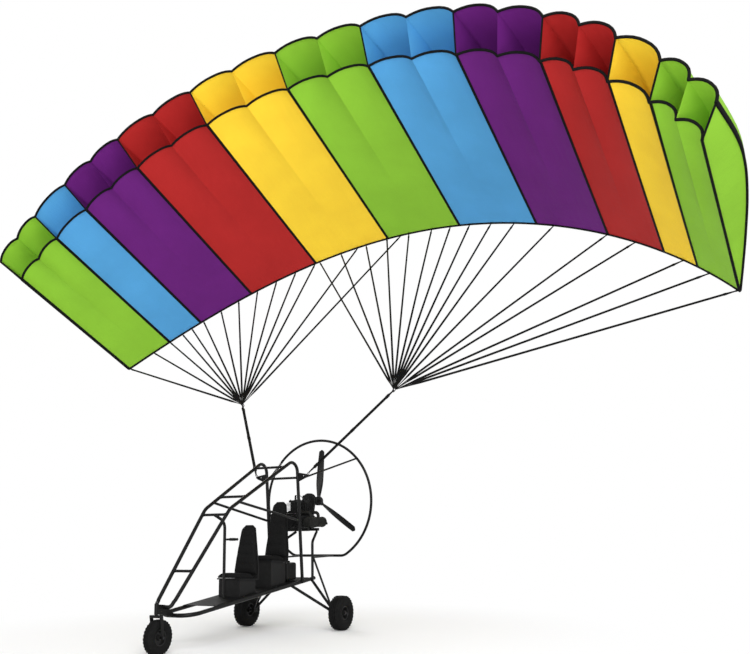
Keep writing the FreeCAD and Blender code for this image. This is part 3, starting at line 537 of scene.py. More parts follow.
for k in range(PANELS):
    panel = "canopy_%02d_" % (k + 1)
    colour = PANEL_COLOURS[k]
    look = (CLOTH[colour], "cart", "ripstop_" + colour, 60.0)
    cells = [(s0, step) for owner, s0, step in CELLS if owner == k]
    c = chord_at((SEAMS[k] + SEAMS[k + 1]) / 2)
    for side in ("low", "top"):
        form = Shape()
        for s0, step in cells:
            s_list = cell_places(s0, step)
            rows, uvs = skin_rows(side, s_list)
            for s, row in zip(s_list, rows):
                outward = Vector((math.sin(ARC_HALF * s), 0, math.cos(ARC_HALF * s)))
                for j, p in enumerate(row):
                    row[j] = p + outward * gather(s, s0, step, j / (CHORD_POINTS - 1))
            form.quad_grid(rows, uvs)
        piece = form.make(panel + side + "_skin", *look,
                          replaces=["canopy_panel_%02d" % (k + 1)] if side == "low" else ())
    ribs = Shape()
    rib_s = [s0 for s0, _ in cells] + [SEAMS[k + 1] - RIB_INSET]
    rib_s[0] += RIB_INSET
    for s in rib_s:
        curves = [section(side, s, RIB_POINTS) for side in ("low", "top")]
        low, top = ([place(s, y, z) for y, z in curve] for curve in curves)
        ribs.quad_grid([low, top], curves)
    piece = ribs.make(panel + "ribs", *look)

# Black tape along each seam, above and below; at the tips it lies on the inner side only
ACROSS_TAPE = (-1.0, -0.5, 0.0, 0.5, 1.0)   # places across it, as shares of its half width
ACROSS_TIP_TAPE = {0: (0.0, 0.35, 0.7, 1.0), PANELS: (-1.0, -0.7, -0.35, 0.0)}
tape = Shape()
for k, seam in enumerate(SEAMS):
    half = TAPE_HALF if 0 < k < PANELS else TIP_TAPE_HALF
    s_list = [seam + half / (ARC_HALF * ARC_R) * q for q in ACROSS_TIP_TAPE.get(k, ACROSS_TAPE)]
    for side in ("low", "top"):
        outer, _ = skin_rows(side, s_list, out=TAPE_TOP)
        inner, _ = skin_rows(side, s_list, out=TAPE_FOOT)
        tape.solid([[row[j] for row in outer] + [row[j] for row in reversed(inner)]
                    for j in range(CHORD_POINTS)])
tape.make("canopy_seam_tape", TAPE, "cart", "webbing_black", smooth=50.0)

# Rolled binding round both lips, the trailing edge, the sides of the mouths and the tips
hem = Shape()
across = [s for _, s0, step in CELLS for s in cell_places(s0, step)[:-1]] + [SEAMS[PANELS]]
hem.tube([place(s, *section("top", s, 2)[0]) for s in across], LIP_ROLL, n=8)
hem.tube([place(s, *section("low", s, 2)[0]) for s in across], LIP_ROLL, n=8)
hem.tube([place(s, chord_at(s) / 2 + TRAILING_OUT, TAIL / 2) for s in across], TRAILING_ROLL, n=8)
for s in SEAMS:
    upper, lower = section("top", s, 2)[0], section("low", s, 2)[0]
    middle = ((upper[0] + lower[0]) / 2, (upper[1] + lower[1]) / 2)
    hem.tube([place(s, *lower), place(s, *middle), place(s, *upper)], MOUTH_ROLL, n=8)
for s in (SEAMS[0], SEAMS[PANELS]):
    for side in ("low", "top"):
        hem.tube([place(s, y, z) for y, z in section(side, s, 48)], TIP_ROLL, n=8)
hem.make("canopy_edge_binding", TAPE, "cart", "webbing_black", smooth=50.0)

# Rigging

LINE_SEAMS = {                      # seam numbers at which each side's lines are sewn on
    "starboard": [0.0, 0.6, 1.0, 1.4, 1.7, 2.05, 2.4, 2.75, 3.1, 3.4, 3.7, 4.0, 4.6, 5.2],
    "port": [4.05, 4.35, 4.7, 5.0, 5.3, 5.62, 5.88, 6.14, 6.42, 6.72, 7.25, 8.0, 8.5, 9.6, 10.3, 11.0],
}
LINE_IN = 0.004                     # lines end this far in from the trailing edge,
PASS_SEAM, PASS_IN = 5.0, 0.045     # and the port line here further in, to pass the other fan clear
LINE_TIP_IN = 0.002                 # and this far in from the canopy's tips, in s
LINE_R = 0.014                      # bold, as the drawing's lines are
# (distance from the link, radius), then (distance from the seam, radius)
LINE_FOOT = ((0.030, 0.003), (0.20, LINE_R / 2), (0.34, LINE_R))
LINE_HEAD = ((0.16, LINE_R), (0.06, 0.009), (0.010, 0.004))
WHIPPING, WHIPPING_R = (0.20, 0.165), LINE_R + 0.0025
TAB = ((0.075, 0.004), (0.045, 0.011), (0.0, 0.013))

STRAP_HALF, STRAP_THIN, STRAP_APART = 0.018, 0.0022, 0.0065
STRAP_PINCH, PINCH_OPENS = 0.35, 6.0    # share of the width at the ends, and how fast it widens
KEEPERS, KEEPER = (0.08, 0.50, 0.92), (0.020, 0.048, 0.060)
SHACKLE_BOW = 0.046                 # the strap's end above the bracket's hole
SHACKLE_HALF, SHACKLE_WIRE, SHACKLE_EYE, PIN_R = 0.017, 0.0045, 0.0095, 0.0058
# once over a shackle's bow, as (share of its half width, height over its pin)
SHACKLE_BEND = ((1, 0), (1, 0.020), (1, 0.036), (0.6, 0.046), (0, 0.049),
                (-0.6, 0.046), (-1, 0.036), (-1, 0.020), (-1, 0))
LINK_RING, LINK_WIRE, LINK_NUT = 0.030, 0.0055, 0.009


def edge_point(seam, inward):
    """Point on the trailing edge at a seam number."""
    k = min(int(seam), PANELS - 1)
    s = SEAMS[k] + (seam - k) * (SEAMS[k + 1] - SEAMS[k])
    s = min(max(s, SEAMS[0] + LINE_TIP_IN), SEAMS[PANELS] - LINE_TIP_IN)
    return place(s, chord_at(s) / 2 - inward, 0.0)


for side, sx in SIDES:
    link_at = at(sx * LINK_X, LINK_Y, LINK_Z)
    lines = Shape()
    tabs = Shape()
    for seam in LINE_SEAMS[side]:
        end = edge_point(seam, PASS_IN if side == "port" and seam == PASS_SEAM else LINE_IN)
        d = (end - link_at).normalized()
        lines.tube([link_at + d * t for t, _ in LINE_FOOT] + [end - d * t for t, _ in LINE_HEAD],
                   [r for _, r in LINE_FOOT + LINE_HEAD], n=8)
        lines.tube([end - d * t for t in WHIPPING], WHIPPING_R, n=8)
        tabs.tube([end - d * t for t, _ in TAB], [r for _, r in TAB], n=8)
    lines.make("suspension_lines_" + side, CORD, "cart", "line_black", replaces=["lines_" + side])
    tabs.make("line_tabs_" + side, WEB, "cart", "webbing_black")

BRACKET_Y = CAGE_TOP_Y + (CAGE_DOWN_Y - CAGE_TOP_Y) * (CAGE_TOP_Z - BRACKET_Z) / CAGE_DROP
for side, sx in SIDES:
    foot = at(sx * BRACKET_X, BRACKET_Y, BRACKET_Z)
    top = at(sx * LINK_X, LINK_Y, LINK_Z)
    lean = Vector((top.x - foot.x, 0, top.z - foot.z)).normalized()
    bow = foot + lean * SHACKLE_BOW
    d = (top - bow).normalized()
    thin = d.cross(Y_AXIS).normalized()     # through the webbing
    wide = d.cross(thin).normalized()       # across it

    # two layers of webbing, pinched at both ends, and three sewn keepers
    strap = Shape()
    for apart in (-STRAP_APART, STRAP_APART):
        rings = []
        for i in range(41):
            t = i / 40.0
            pinch = min(1.0, STRAP_PINCH + PINCH_OPENS * min(t, 1 - t))
            c = bow + (top - bow) * t + thin * apart * pinch
            w, h = wide * STRAP_HALF * pinch, thin * STRAP_THIN
            rings.append([c + w + h, c - w + h, c - w - h, c + w - h])
        strap.solid(rings)
    for t in KEEPERS:
        strap.block(bow + (top - bow) * t, KEEPER, 0.003, Matrix((thin, wide, d)).transposed())
    strap.make("riser_strap_" + side, WEB, "cart", "webbing_black", replaces=["riser_" + side])

    # screw link at the top, bow shackle with its pin and nut in the bracket
    hardware = Shape()
    hardware.torus(top, thin, LINK_RING, LINK_WIRE, n=32, m=10)
    hardware.tube([top - d * 0.012 + wide * LINK_RING, top + d * 0.012 + wide * LINK_RING], LINK_NUT, n=6)
    off = Y_AXIS * SHACKLE_HALF
    bend = [foot + off * share + lean * rise for share, rise in SHACKLE_BEND]
    hardware.tube(spline(bend, 33), SHACKLE_WIRE, n=12)
    hardware.tube([foot + off * 1.7, foot - off * 1.4], PIN_R, n=14)
    for q in (1.0, -1.0):
        hardware.tube([foot + off * q + Y_AXIS * 0.006, foot + off * q - Y_AXIS * 0.006], SHACKLE_EYE, n=16)
    hardware.tube([foot - off * 1.35, foot - off * 1.75], SHACKLE_EYE, n=6)
    hardware.make("riser_link_" + side, STEEL, "cart", "axle_steel")

    bundle = Shape()
    bundle.tube([top + d * t for t in (0.022, 0.034, 0.050, 0.062)], [0.010, 0.024, 0.024, 0.010], n=14)
    bundle.make("line_bundle_" + side, CORD, "cart", "line_black")

# Wheels

BEAD_GAP = 0.0004                   # between rim and tyre
CROWN_DROP = 0.0035                 # of the tread towards its edges
GROOVE_DEEP, GROOVE_HALF = 0.007, 0.06
TREAD_HALF = 0.60                   # share of the half width that has tread
LUGS = 30
RIM_HALF = 0.36                     # share of a tyre's width
DISC_FACE = 0.0142                  # of a rim's disc, from the wheel's middle
RIM_BOLTS_AT, RIM_BOLTS_TURN = RIM_R * 0.62, 0.3    # radius and first angle
VALVE_AT, VALVE_TURN = RIM_R - 0.016, 1.9
VALVE = ((0.0, 0.004), (0.022, 0.0035), (0.024, 0.0045), (0.034, 0.0045))   # (height, radius)


def tyre(name, radius, width, centre, body, node):
    h = width / 2
    depth = radius - RIM_R
    # bead, sidewall and shoulder as (radius, share of the half width)
    wall = ((RIM_R + BEAD_GAP, 0.70), (RIM_R + 0.012, 0.86), (RIM_R + 0.30 * depth, 0.965),
            (RIM_R + 0.52 * depth, 1.0), (RIM_R + 0.72 * depth, 0.965), (RIM_R + 0.88 * depth, 0.83),
            (radius - 0.0045, 0.62))
    wall = spline_2d([(r, -h * t) for r, t in wall], 22)
    # crown with three grooves round it
    crown = []
    for i in range(5):
        t = TREAD_HALF * (i - 2) / 2
        r = radius - CROWN_DROP * (abs(t) / TREAD_HALF) ** 2
        if i in (0, 4):
            crown.append((r, t * h))
        else:
            crown += [(r, (t - GROOVE_HALF) * h), (r - GROOVE_DEEP, (t - GROOVE_HALF * 0.6) * h),
                      (r - GROOVE_DEEP, (t + GROOVE_HALF * 0.6) * h), (r, (t + GROOVE_HALF) * h)]
    form = Shape()
    form.lathe(wall + crown + [(r, -t) for r, t in reversed(wall)] + [(RIM_R + BEAD_GAP, 0.0)],
               centre, X_AXIS, n=72)
    # shoulder lugs, staggered from side to side
    for sx, phase in ((-1, 0.0), (1, 0.5)):
        for a in circle(LUGS, phase):
            out = Vector((0, math.cos(a), math.sin(a)))
            ahead = Vector((0, -math.sin(a), math.cos(a)))
            c = centre + out * (radius - 0.006) + X_AXIS * sx * h * 0.70
            turn = Matrix((X_AXIS, ahead, out)).transposed()
            form.block(c, (h * 0.20, radius * 0.115, 0.007), 0.002, turn)
    return form.make(name, RUBBER, body, "tyre_black", smooth=35.0, replaces=[node])


def rim_detail(name, half, centre, body):
    """Six bolts and a bead line on each side, and the valve."""
    form = Shape()
    for sx in (1, -1):
        for a in circle(6):
            a += RIM_BOLTS_TURN
            seat = Vector((sx * DISC_FACE, math.cos(a) * RIM_BOLTS_AT, math.sin(a) * RIM_BOLTS_AT))
            form.bolt(centre + seat, (sx, 0, 0), *RIM_BOLT)
        form.torus(centre + X_AXIS * sx * (half - 0.004), X_AXIS, RIM_R - 0.008, 0.0022, n=48, m=6)
    foot = centre + Vector((half * 0.4, math.cos(VALVE_TURN) * VALVE_AT, math.sin(VALVE_TURN) * VALVE_AT))
    form.tube([foot + X_AXIS * t for t, _ in VALVE], [r for _, r in VALVE], n=10)
    return form.make(name, STEEL, body, "axle_steel")


for side, sx in SIDES:
    c = at(sx * TRACK_HALF, MAIN_Y, MAIN_R)
    tyre("main_tyre_tread_" + side, MAIN_R, MAIN_W, c, "main_wheel_" + side, "main_tyre_" + side)
    rim_detail("main_rim_bolts_" + side, RIM_HALF * MAIN_W, c, "main_wheel_" + side)
c = at(0, NOSE_Y, NOSE_R)
tyre("nose_tyre_tread", NOSE_R, NOSE_W, c, "nose_wheel", "nose_tyre")
rim_detail("nose_rim_bolts", RIM_HALF * NOSE_W, c, "nose_wheel")

# Engine

HEAD_TOP, PLUG_Z, CAP_Z = 1.472, 1.494, 1.524
PLUG = [(0.0, 0.0), (0.013, 0.0), (0.013, 0.012), (0.008, 0.014), (0.008, 0.030), (0.0, 0.030)]
STARTER = [(0.0, 0.0), (0.040, 0.0), (0.058, 0.004), (0.062, 0.010), (0.062, 0.018), (0.0, 0.018)]
COIL_Y, COIL_Z = 0.748, 1.252

fasteners = Shape()
for y in CYLINDERS_Y:
    fasteners.lathe(PLUG, at(0, y, PLUG_Z), Z_AXIS, n=20)
    for dx in (-0.045, 0.045):
        for dy in (-0.042, 0.042):
            fasteners.bolt(at(dx, y + dy, HEAD_TOP), Z_AXIS, *HEAD_BOLT)
    for sx, flange_z in ((1, PORT_EXHAUST_Z), (-1, INTAKE_Z)):
        for dy in (-0.020, 0.020):
            fasteners.bolt(at(sx * 0.094, y + dy, flange_z + 0.014), Z_AXIS, *FLANGE_BOLT)
for y in (0.600, 0.690, 0.780, 0.870):
    for sx in (1, -1):
        fasteners.bolt(at(sx * CASE_SIDE, y, COIL_Z + 0.010), (sx, 0, 0), *CASE_BOLT)
for a in circle(8, 0.5):
    fasteners.bolt(at(0.070 * math.cos(a), CASE_FRONT, CRANK_Z + 0.070 * math.sin(a)), -Y_AXIS, *FRONT_BOLT)
fasteners.make("engine_fasteners", STEEL, "cart", "axle_steel")

starter = Shape()
starter.lathe(STARTER, at(0, CASE_FRONT + 0.0005, CRANK_Z), -Y_AXIS, n=40)
for a in circle(10):
    starter.block(at(0.044 * math.cos(a), CASE_FRONT - 0.016, CRANK_Z + 0.044 * math.sin(a)),
                  (0.026, 0.004, 0.007), 0.001, Matrix.Rotation(-a, 3, "Y"))
starter.tube([at(0.050, 0.540, CRANK_Z + 0.040), at(0.074, 0.532, CRANK_Z + 0.072)], 0.006, n=12)
starter.tube([at(0.056, 0.532, CRANK_Z + 0.076), at(0.092, 0.532, CRANK_Z + 0.070)], 0.008, n=14)
starter.make("engine_starter_cover", PLASTIC, "cart", "plastic_black")

# Plug caps with their leads to the coil, and the filters' pleats
leads = Shape()
for y in CYLINDERS_Y:
    cap_at = at(0, y, CAP_Z)
    leads.tube([cap_at - Z_AXIS * 0.016, cap_at, cap_at + Vector((0.006, 0.004, 0.008))],
               [0.012, 0.011, 0.008], n=14)
    lead = [cap_at + Vector((0.004, 0.002, 0.006)), at(0.050, y + 0.02, 1.528),
            at(0.105, 0.5 * y + 0.370, 1.460), at(0.118, 0.5 * y + 0.370, 1.330),
            at(0.1165, COIL_Y + (y - COIL_Y) * 0.3, COIL_Z + 0.010)]
    leads.tube(spline(lead, 28), 0.0035, n=8)
leads.block(at(0.124, COIL_Y, COIL_Z), (0.020, 0.075, 0.036), 0.004)
for y in CYLINDERS_Y:
    for i in range(5):
        leads.torus(at(-0.160 - 0.0095 * i, y, INTAKE_Z), X_AXIS, 0.037, 0.0022, n=32, m=6)
leads.make("engine_leads_and_filters", PLASTIC, "cart", "plastic_black")

# Tailpipe, the silencer's bands and the exhaust flanges
pipes = Shape()
tail = [at(MUFFLER_X, 0.978, MUFFLER_Z), at(MUFFLER_X, 0.996, 1.208),
        at(0.218, 1.008, 1.196), at(0.222, 1.011, 1.176)]
pipes.tube(spline(tail, 14), 0.0188, n=20, caps=False)
for y in (0.600, 0.760, 0.920):
    pipes.torus(at(MUFFLER_X, y, MUFFLER_Z), Y_AXIS, 0.0605, 0.003, n=40, m=6)
for y in CYLINDERS_Y:
    pipes.torus(at(0.100, y, PORT_EXHAUST_Z), X_AXIS, 0.022, 0.003, n=24, m=6)
pipes.make("exhaust_pipes", HOT, "cart", "exhaust_black")

# Propeller

ROOT_R = 0.0555                     # where a blade leaves the hub
ROOT_CHORD, CHORD_GAIN, TIP_LOSS = 0.044, 0.044, 0.018
WIDEST, STRAIGHT_TO, TIP_ROUND = 0.36, 0.45, 0.955
TIP_TWIST, MORE_TWIST = 9.0, 38.0   # degrees: the tip's, and what the root has on top of it
TIP_THICK, MORE_THICK = 0.006, 0.030    # thickness, in the same way
BACK_FULL, FACE_FULL = 0.9, 0.45    # roundness of a section's back and face,
LEAD_FULL = 0.25                    # and how much it grows towards the leading edge
HUB_AT = at(0, PROP_Y, HUB_Z)
BLADES = [Matrix.Rotation(a + BLADE_TURN, 3, "Y") for a in circle(3)]


def blade_chord(t):
    chord = ROOT_CHORD + CHORD_GAIN * math.sin(math.pi / 2 * min(1.0, t / WIDEST))
    chord -= TIP_LOSS * max(0.0, (t - STRAIGHT_TO) / (1 - STRAIGHT_TO)) ** 1.5
    if t >= TIP_ROUND:
        chord *= math.sqrt(max(0.08, 1 - ((t - TIP_ROUND) / 0.047) ** 2))
    return chord


blades = Shape()
for turn in BLADES:
    rings = []
    for i in range(27):
        t = i / 26.0
        r = ROOT_R + (PROP_R - ROOT_R) * t
        chord = blade_chord(t)
        thick = MORE_THICK * (1 - t) ** 1.6 + TIP_THICK
        twist = math.radians(MORE_TWIST * (1 - t) ** 1.4 + TIP_TWIST)
        ring = []
        for a in circle(18):
            x = math.cos(a)
            y = math.sin(a) * (BACK_FULL if math.sin(a) > 0 else FACE_FULL) * (1 - LEAD_FULL * x)
            cx, cy = -x * chord / 2, y * thick / 2
            local = Vector((cx * math.cos(twist) - cy * math.sin(twist),
                            cx * math.sin(twist) + cy * math.cos(twist), r))
            ring.append(HUB_AT + turn @ local)
        rings.append(ring)
    blades.solid(rings)
blades.make("propeller_blade_set", BLADE, "propeller", "blade_black", smooth=50.0,
            replaces=["propeller_blades"])

hub = Shape()
for a in circle(6):
    hub.bolt(at(0.040 * math.cos(a), PROP_Y + 0.025, HUB_Z + 0.040 * math.sin(a)), Y_AXIS, *HUB_BOLT)
for turn in BLADES:
    d = turn @ Z_AXIS
    hub.tube([HUB_AT + d * 0.050, HUB_AT + d * 0.068], [0.026, 0.023], n=20)
hub.make("propeller_hub_bolts", STEEL, "propeller", "axle_steel")

# Seats

PAD_HALF, PAD_TOP_HALF = 0.146, 0.074
SEAT_DEPTH = 0.310
SEAT_THICK, BACK_THICK = 0.056, 0.044
SEAT_CHANNELS, BACK_CHANNELS = 3, 5     # stuffed parts between sewn seams
PAD_U, PAD_V = 30, 36
CHANNEL_DEEP, CHANNEL_ROWS = 0.012, 1.1     # of the grooves at the seams: depth, half width in rows
EDGE_THICK = 0.35                   # share of a pad's thickness that its edge keeps
LUMP_HIGH, LUMPS_PER_M = 0.002, 14.0
ROUND_TOP = 0.045                   # height over which a back pad's top corners round off


def rim_of(rows):
    """The outer points of a grid, once round."""
    return (rows[0] + [r[-1] for r in rows[1:]] + list(reversed(rows[-1][:-1]))
            + [r[0] for r in reversed(rows[1:-1])])


def pad(name, node, corners, grows, thick, channels, wide=lambda v: 1.0):
    """Crowned pad on the face with these corners; it grows along grows, and wide(v) narrows it."""
    a, b, c, d = corners
    up = Vector(grows).normalized()

    def on_face(i, j):
        u, v = j / PAD_U, i / PAD_V
        k = 0.5 + (u - 0.5) * wide(v)
        return (a * (1 - k) + b * k) * (1 - v) + (d * (1 - k) + c * k) * v

    crown = []
    for i in range(PAD_V + 1):
        v = i / PAD_V
        seams = sum(math.exp(-((v - q / channels) * PAD_V / CHANNEL_ROWS) ** 2) for q in range(1, channels))
        row = []
        for j in range(PAD_U + 1):
            u = j / PAD_U
            p = on_face(i, j)
            eu, ev = 1 - abs(2 * u - 1) ** 5, 1 - abs(2 * v - 1) ** 6
            h = thick * (EDGE_THICK + (1 - EDGE_THICK) * max(0.0, eu * ev) ** 0.45)
            h += LUMP_HIGH * noise.noise(p * LUMPS_PER_M) - CHANNEL_DEEP * seams * eu
            row.append(p + up * h)
        crown.append(row)
    base = [[on_face(i, j) + up * 0.001 for j in range(PAD_U + 1)] for i in range(PAD_V + 1)]
    edge_top, edge_low = rim_of(crown), rim_of(base)
    centre = (a + b + c + d) / 4
    middle = []
    for p, q in zip(edge_top, edge_low):
        out = (p + q) / 2 - centre
        out -= up * out.dot(up)
        middle.append((p + q) / 2 + out.normalized() * 0.005)
    form = Shape()
    form.quad_grid(crown)
    form.quad_grid(base)
    form.quad_grid([edge_top, middle, edge_low], close=True)
    piece = form.make(name, SEAT, "cart", "seat_cloth", smooth=70.0, replaces=[node])
    piping = Shape()
    piping.tube([p + (q - p) * 0.15 for p, q in zip(edge_top + edge_top[:1], edge_low + edge_low[:1])],
                0.0035, n=6, caps=False)
    piping.make(name + "_piping", WEB, "cart", "seat_cloth")


def seat_pads(name, y_front, z_pan, back_top, lean_back):
    w = PAD_HALF
    y_back = y_front + SEAT_DEPTH
    y0, y1, z0, z1 = y_front + 0.010, y_back - 0.064, z_pan + 0.001, z_pan - 0.015
    pad(name + "_pad", name + "_cushion", [at(-w, y0, z0), at(w, y0, z0), at(w, y1, z1), at(-w, y1, z1)],
        (0, -0.05, 1), SEAT_THICK, SEAT_CHANNELS)
    lean = lean_back / (back_top - z_pan + 0.020)
    low, high = z_pan + 0.030, back_top - 0.014
    narrow_from = z_pan + 0.060

    def back_width(v):
        """Straight at first, then in to the narrow top with its round corners."""
        z = low + (high - low) * v
        t = min(1.0, max(0.0, (z - narrow_from) / (high - narrow_from)))
        half = w - (w - PAD_TOP_HALF) * t ** 1.15
        rounding = max(0.0, (z - high + ROUND_TOP) / ROUND_TOP)
        return half / w * math.sqrt(max(0.12, 1.0 - 0.80 * rounding ** 2))

    y0, y1 = (y_back + lean * (z - z_pan + 0.020) - 0.0015 for z in (low, high))
    pad(name + "_back_pad", name + "_back_cushion",
        [at(w, y0, low), at(-w, y0, low), at(-w, y1, high), at(w, y1, high)],
        (0, -1, lean), BACK_THICK, BACK_CHANNELS, back_width)


seat_pads("front_seat", -0.640, 0.640, 1.190, 0.050)
seat_pads("rear_seat", -0.060, 0.800, 1.450, 0.080)

# Fittings on the frame

BEAD, CAGE_BEAD = 0.003, 0.0028     # radius of the weld beads on the rails and on the cage
BEAD_UP = 0.019                     # of a bead on a rail, over the rail's centre line


def cage(sx):
    """Corners of a cage tube's centre line, from the nose up, back and down to the rail."""
    top = (CAGE_TOP_X, CAGE_TOP_Y, CAGE_TOP_Z)
    end = (CAGE_TOP_X, CAGE_DOWN_Y, rail_z(CAGE_DOWN_Y) - CAGE_SINK)
    return [(sx * x, y, z) for x, y, z in (CAGE_FOOT, CAGE_KNEE, top, end)]


# Weld beads where cross tubes meet the cage, as (leg of the cage, share of its length)
WELDS = ((0, 0.30), (0, 0.93), (1, 0.22), (1, 0.80),
         (2, (CAGE_TOP_Z - 1.725) / CAGE_DROP), (2, (CAGE_TOP_Z - 1.300) / CAGE_DROP))
beads = Shape()
for leg, t in WELDS:
    for sx in (1, -1):
        x, y, z = lerp(cage(sx)[leg], cage(sx)[leg + 1], t)
        beads.torus(at(x - sx * (CAGE_R + 0.0002), y, z), X_AXIS, BRACE_R + 0.0012, CAGE_BEAD, m=6)
for sx in (1, -1):
    for y, shift, r in ((CAGE_DOWN_Y, -0.0005, CAGE_R), (POST_Y, 0.0, POST_R)):
        beads.torus(at(sx * RAIL_X, y + shift, rail_z(y) + BEAD_UP), Z_AXIS, r + 0.001, BEAD, m=6)
beads.make("frame_weld_beads", FRAME, "cart", "frame_black")

bolts = Shape()
for sx in (1, -1):
    for y, z in ((-1.700, 0.430), (-1.560, 0.372)):
        bolts.bolt(at(sx * 0.021, y, z), (sx, 0, 0), *NOSE_BOLT)
    for y in (-1.090, -0.600, 0.0, 0.560):
        bolts.bolt(at(sx * 0.178, y, rail_z(y) + 0.0250), Z_AXIS, *FLOOR_BOLT)
bolts.make("frame_bolts", STEEL, "cart", "axle_steel")

LEVER_Z, GRIP_R = 1.045, 0.0145
grip = Shape()
grip.tube([at(0.060, -0.710, LEVER_Z), at(0.132, -0.702, LEVER_Z)], GRIP_R, n=20)
for i in range(6):
    grip.torus(at(0.066 + 0.011 * i, -0.7095 + 0.0015 * i, LEVER_Z), (1, 0.1, 0), GRIP_R, 0.0016, n=24, m=6)
grip.make("lever_grip", PLASTIC, "cart", "plastic_black")

FUEL_CAP = [(0.0, 0.0), (0.030, 0.0), (0.033, 0.006), (0.033, 0.018), (0.028, 0.022), (0.0, 0.022)]
CAP_X, CAP_Y, RIDGE_R = 0.070, 0.372, 0.0335
cap = Shape()
cap.lathe(FUEL_CAP, at(CAP_X, CAP_Y, 0.7535), Z_AXIS, n=24)
for a in circle(8):
    x, y = CAP_X + RIDGE_R * math.cos(a), CAP_Y + RIDGE_R * math.sin(a)
    cap.tube([at(x, y, 0.760), at(x, y, 0.771)], 0.002, n=6)
cap.make("fuel_cap", PLASTIC, "cart", "plastic_black")

TANK_Y0, TANK_Y1, TANK_TOP, TANK_ROUND = 0.270, 0.460, 0.755, 0.025
TANK_LOW = rail_z(CAGE_DOWN_Y) + RAIL_R + PAN_THICK + 0.002
TANK_MID_Y, TANK_MID_Z = 0.365, 0.70
STRAP_OFF, STRAP_WEB, BAND_HALF = 0.001, 0.0018, 0.0125
outline = [(TANK_Y1 + STRAP_OFF, TANK_LOW + 0.02)]
for cy, start in ((TANK_Y1 - TANK_ROUND, 0), (TANK_Y0 + TANK_ROUND, 90)):
    for i in range(7):
        a = math.radians(start + 15 * i)
        r = TANK_ROUND + STRAP_OFF
        outline.append((cy + r * math.cos(a), TANK_TOP - TANK_ROUND + r * math.sin(a)))
outline.append((TANK_Y0 - STRAP_OFF, TANK_LOW + 0.02))
straps = Shape()
for x in (-0.090, 0.010):
    rings = []
    for y, z in outline:
        ny, nz = y - TANK_MID_Y, z - TANK_MID_Z
        d = math.hypot(ny, nz)
        ny, nz = ny / d * STRAP_WEB, nz / d * STRAP_WEB
        rings.append([at(x - BAND_HALF, y, z), at(x + BAND_HALF, y, z),
                      at(x + BAND_HALF, y + ny, z + nz), at(x - BAND_HALF, y + ny, z + nz)])
    straps.solid(rings)
    straps.block(at(x, 0.300, TANK_TOP + 0.0025), (0.032, 0.024, 0.006), 0.0015)
straps.make("fuel_tank_straps", WEB, "cart", "webbing_black")

# Solids that show as they are

SLOT_LOOKS = {
    "frame_black": FRAME, "alloy_tube_black": RING, "rim_black": RIM, "engine_alloy": CAST,
    "axle_steel": STEEL, "plastic_black": PLASTIC, "blade_black": BLADE, "exhaust_black": HOT,
    "tyre_black": RUBBER, "seat_cloth": SEAT, "line_black": CORD, "webbing_black": WEB,
}
for part in frame["record"]["subparts"]:
    node, slot = part["node"], part["material_slot"]
    piece = bpy.data.objects.get(node)
    material = PAN if node == "floor_pan" else SLOT_LOOKS.get(slot)
    if piece is None or material is None:
        continue
    for s in piece.material_slots:
        s.material = material
    shade(piece.data, 32.0)

# Stage, light, camera

FLOOR_HALF = 60.0
CART_AT = (0.0, -1.8, 0.0)
SHADOW_NEAR, SHADOW_FAR = 1.6, 4.5  # away from the cart, the floor turns to plain white between these

floor_material, tree, soft = new_material("pale floor")
soft.inputs["Base Color"].default_value = (0.88, 0.88, 0.88, 1)
soft.inputs["Roughness"].default_value = 0.9
soft.inputs["Specular IOR Level"].default_value = 0.1
glow = add(tree, "Emission", {"Color": (1, 1, 1, 1), "Strength": 1.0})
here = add(tree, "NewGeometry")
away = add(tree, "VectorMath", {1: CART_AT}, operation="DISTANCE")
tree.links.new(here.outputs["Position"], away.inputs[0])
far = add(tree, "MapRange", {"From Min": SHADOW_NEAR, "From Max": SHADOW_FAR},
          interpolation_type="SMOOTHSTEP")
tree.links.new(away.outputs["Value"], far.inputs["Value"])
share = add(tree, "Math", operation="MULTIPLY")
tree.links.new(far.outputs["Result"], share.inputs[0])
tree.links.new(seen_directly(tree), share.inputs[1])
mix_into(tree, "Material Output", share.outputs[0], soft, glow)
corners = [(-FLOOR_HALF, -FLOOR_HALF, 0), (FLOOR_HALF, -FLOOR_HALF, 0),
           (FLOOR_HALF, FLOOR_HALF, 0), (-FLOOR_HALF, FLOOR_HALF, 0)]
floor = bpy.data.meshes.new("floor")
floor.from_pydata(corners, [], [(0, 1, 2, 3)])
floor.materials.append(floor_material)
floor_obj = bpy.data.objects.new("floor", floor)
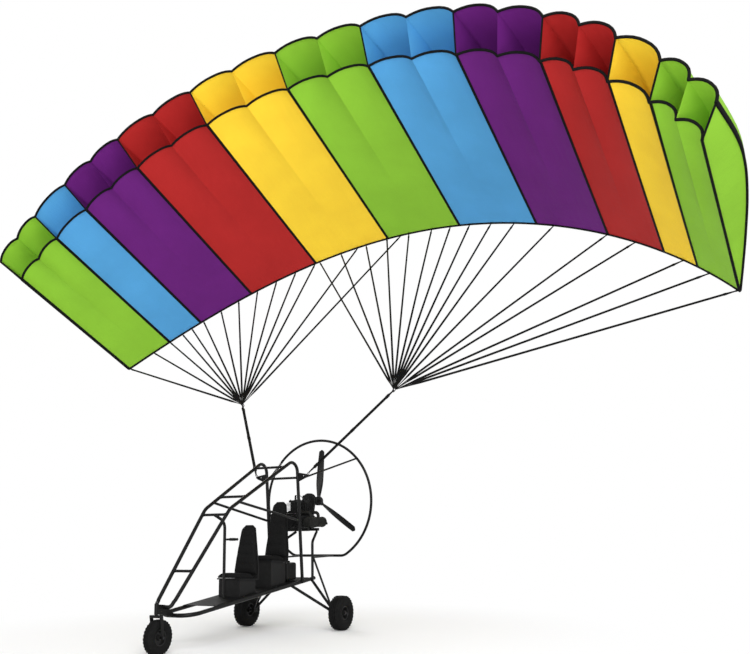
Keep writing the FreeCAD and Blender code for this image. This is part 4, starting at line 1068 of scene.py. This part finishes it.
bpy.context.collection.objects.link(floor_obj)

world = bpy.data.worlds.new("studio")
bpy.context.scene.world = world
world.use_nodes = True
tree = world.node_tree
sky = tree.nodes["Background"]      # what lights the part
sky.inputs["Color"].default_value = (1, 1, 1, 1)
sky.inputs["Strength"].default_value = 0.75
white = add(tree, "Background", {"Color": (1, 1, 1, 1), "Strength": 1.0})    # what the camera sees
mix_into(tree, "World Output", seen_directly(tree), sky, white)


def lamp(name, stands, looks_at, size, power):
    data = bpy.data.lights.new(name, "AREA")
    data.shape = "SQUARE"
    data.size = size
    data.energy = power
    piece = bpy.data.objects.new(name, data)
    piece.location = stands
    piece.rotation_euler = (Vector(looks_at) - Vector(stands)).to_track_quat("-Z", "Y").to_euler()
    bpy.context.collection.objects.link(piece)


lamp("key", (9, -12, 9), (0, 0, 4), 8, 1500)
lamp("low fill", (6, -13, 1.5), (0, 1, 5), 7, 900)
lamp("rim", (-12, 9, 9), (0, 0, 4), 8, 900)

# Camera fitted to the photograph: place, azimuth, elevation and roll, focal length in its pixels
CAM_AT = at(5.98, -8.48, 1.20)
AZ, EL, ROLL = math.radians(27.9), math.radians(12.5), math.radians(-1.13)
FOCAL_PX, PHOTO_WIDE_PX = 878.0, 750.0
SENSOR_MM = 36.0
data = bpy.data.cameras.new("camera")
data.sensor_width = SENSOR_MM
data.lens = FOCAL_PX * SENSOR_MM / PHOTO_WIDE_PX
data.clip_end = 200.0
cam = bpy.data.objects.new("camera", data)
ahead = Vector((-math.sin(AZ) * math.cos(EL), math.cos(AZ) * math.cos(EL), math.sin(EL)))
level_right = ahead.cross(Z_AXIS).normalized()
level_up = level_right.cross(ahead)
right = level_right * math.cos(ROLL) + level_up * math.sin(ROLL)
up = -level_right * math.sin(ROLL) + level_up * math.cos(ROLL)
pose = Matrix((right, up, -ahead)).transposed().to_4x4()
pose.translation = CAM_AT
cam.matrix_world = pose
bpy.context.collection.objects.link(cam)
bpy.context.scene.camera = cam
bpy.context.scene.view_settings.view_transform = "Standard"
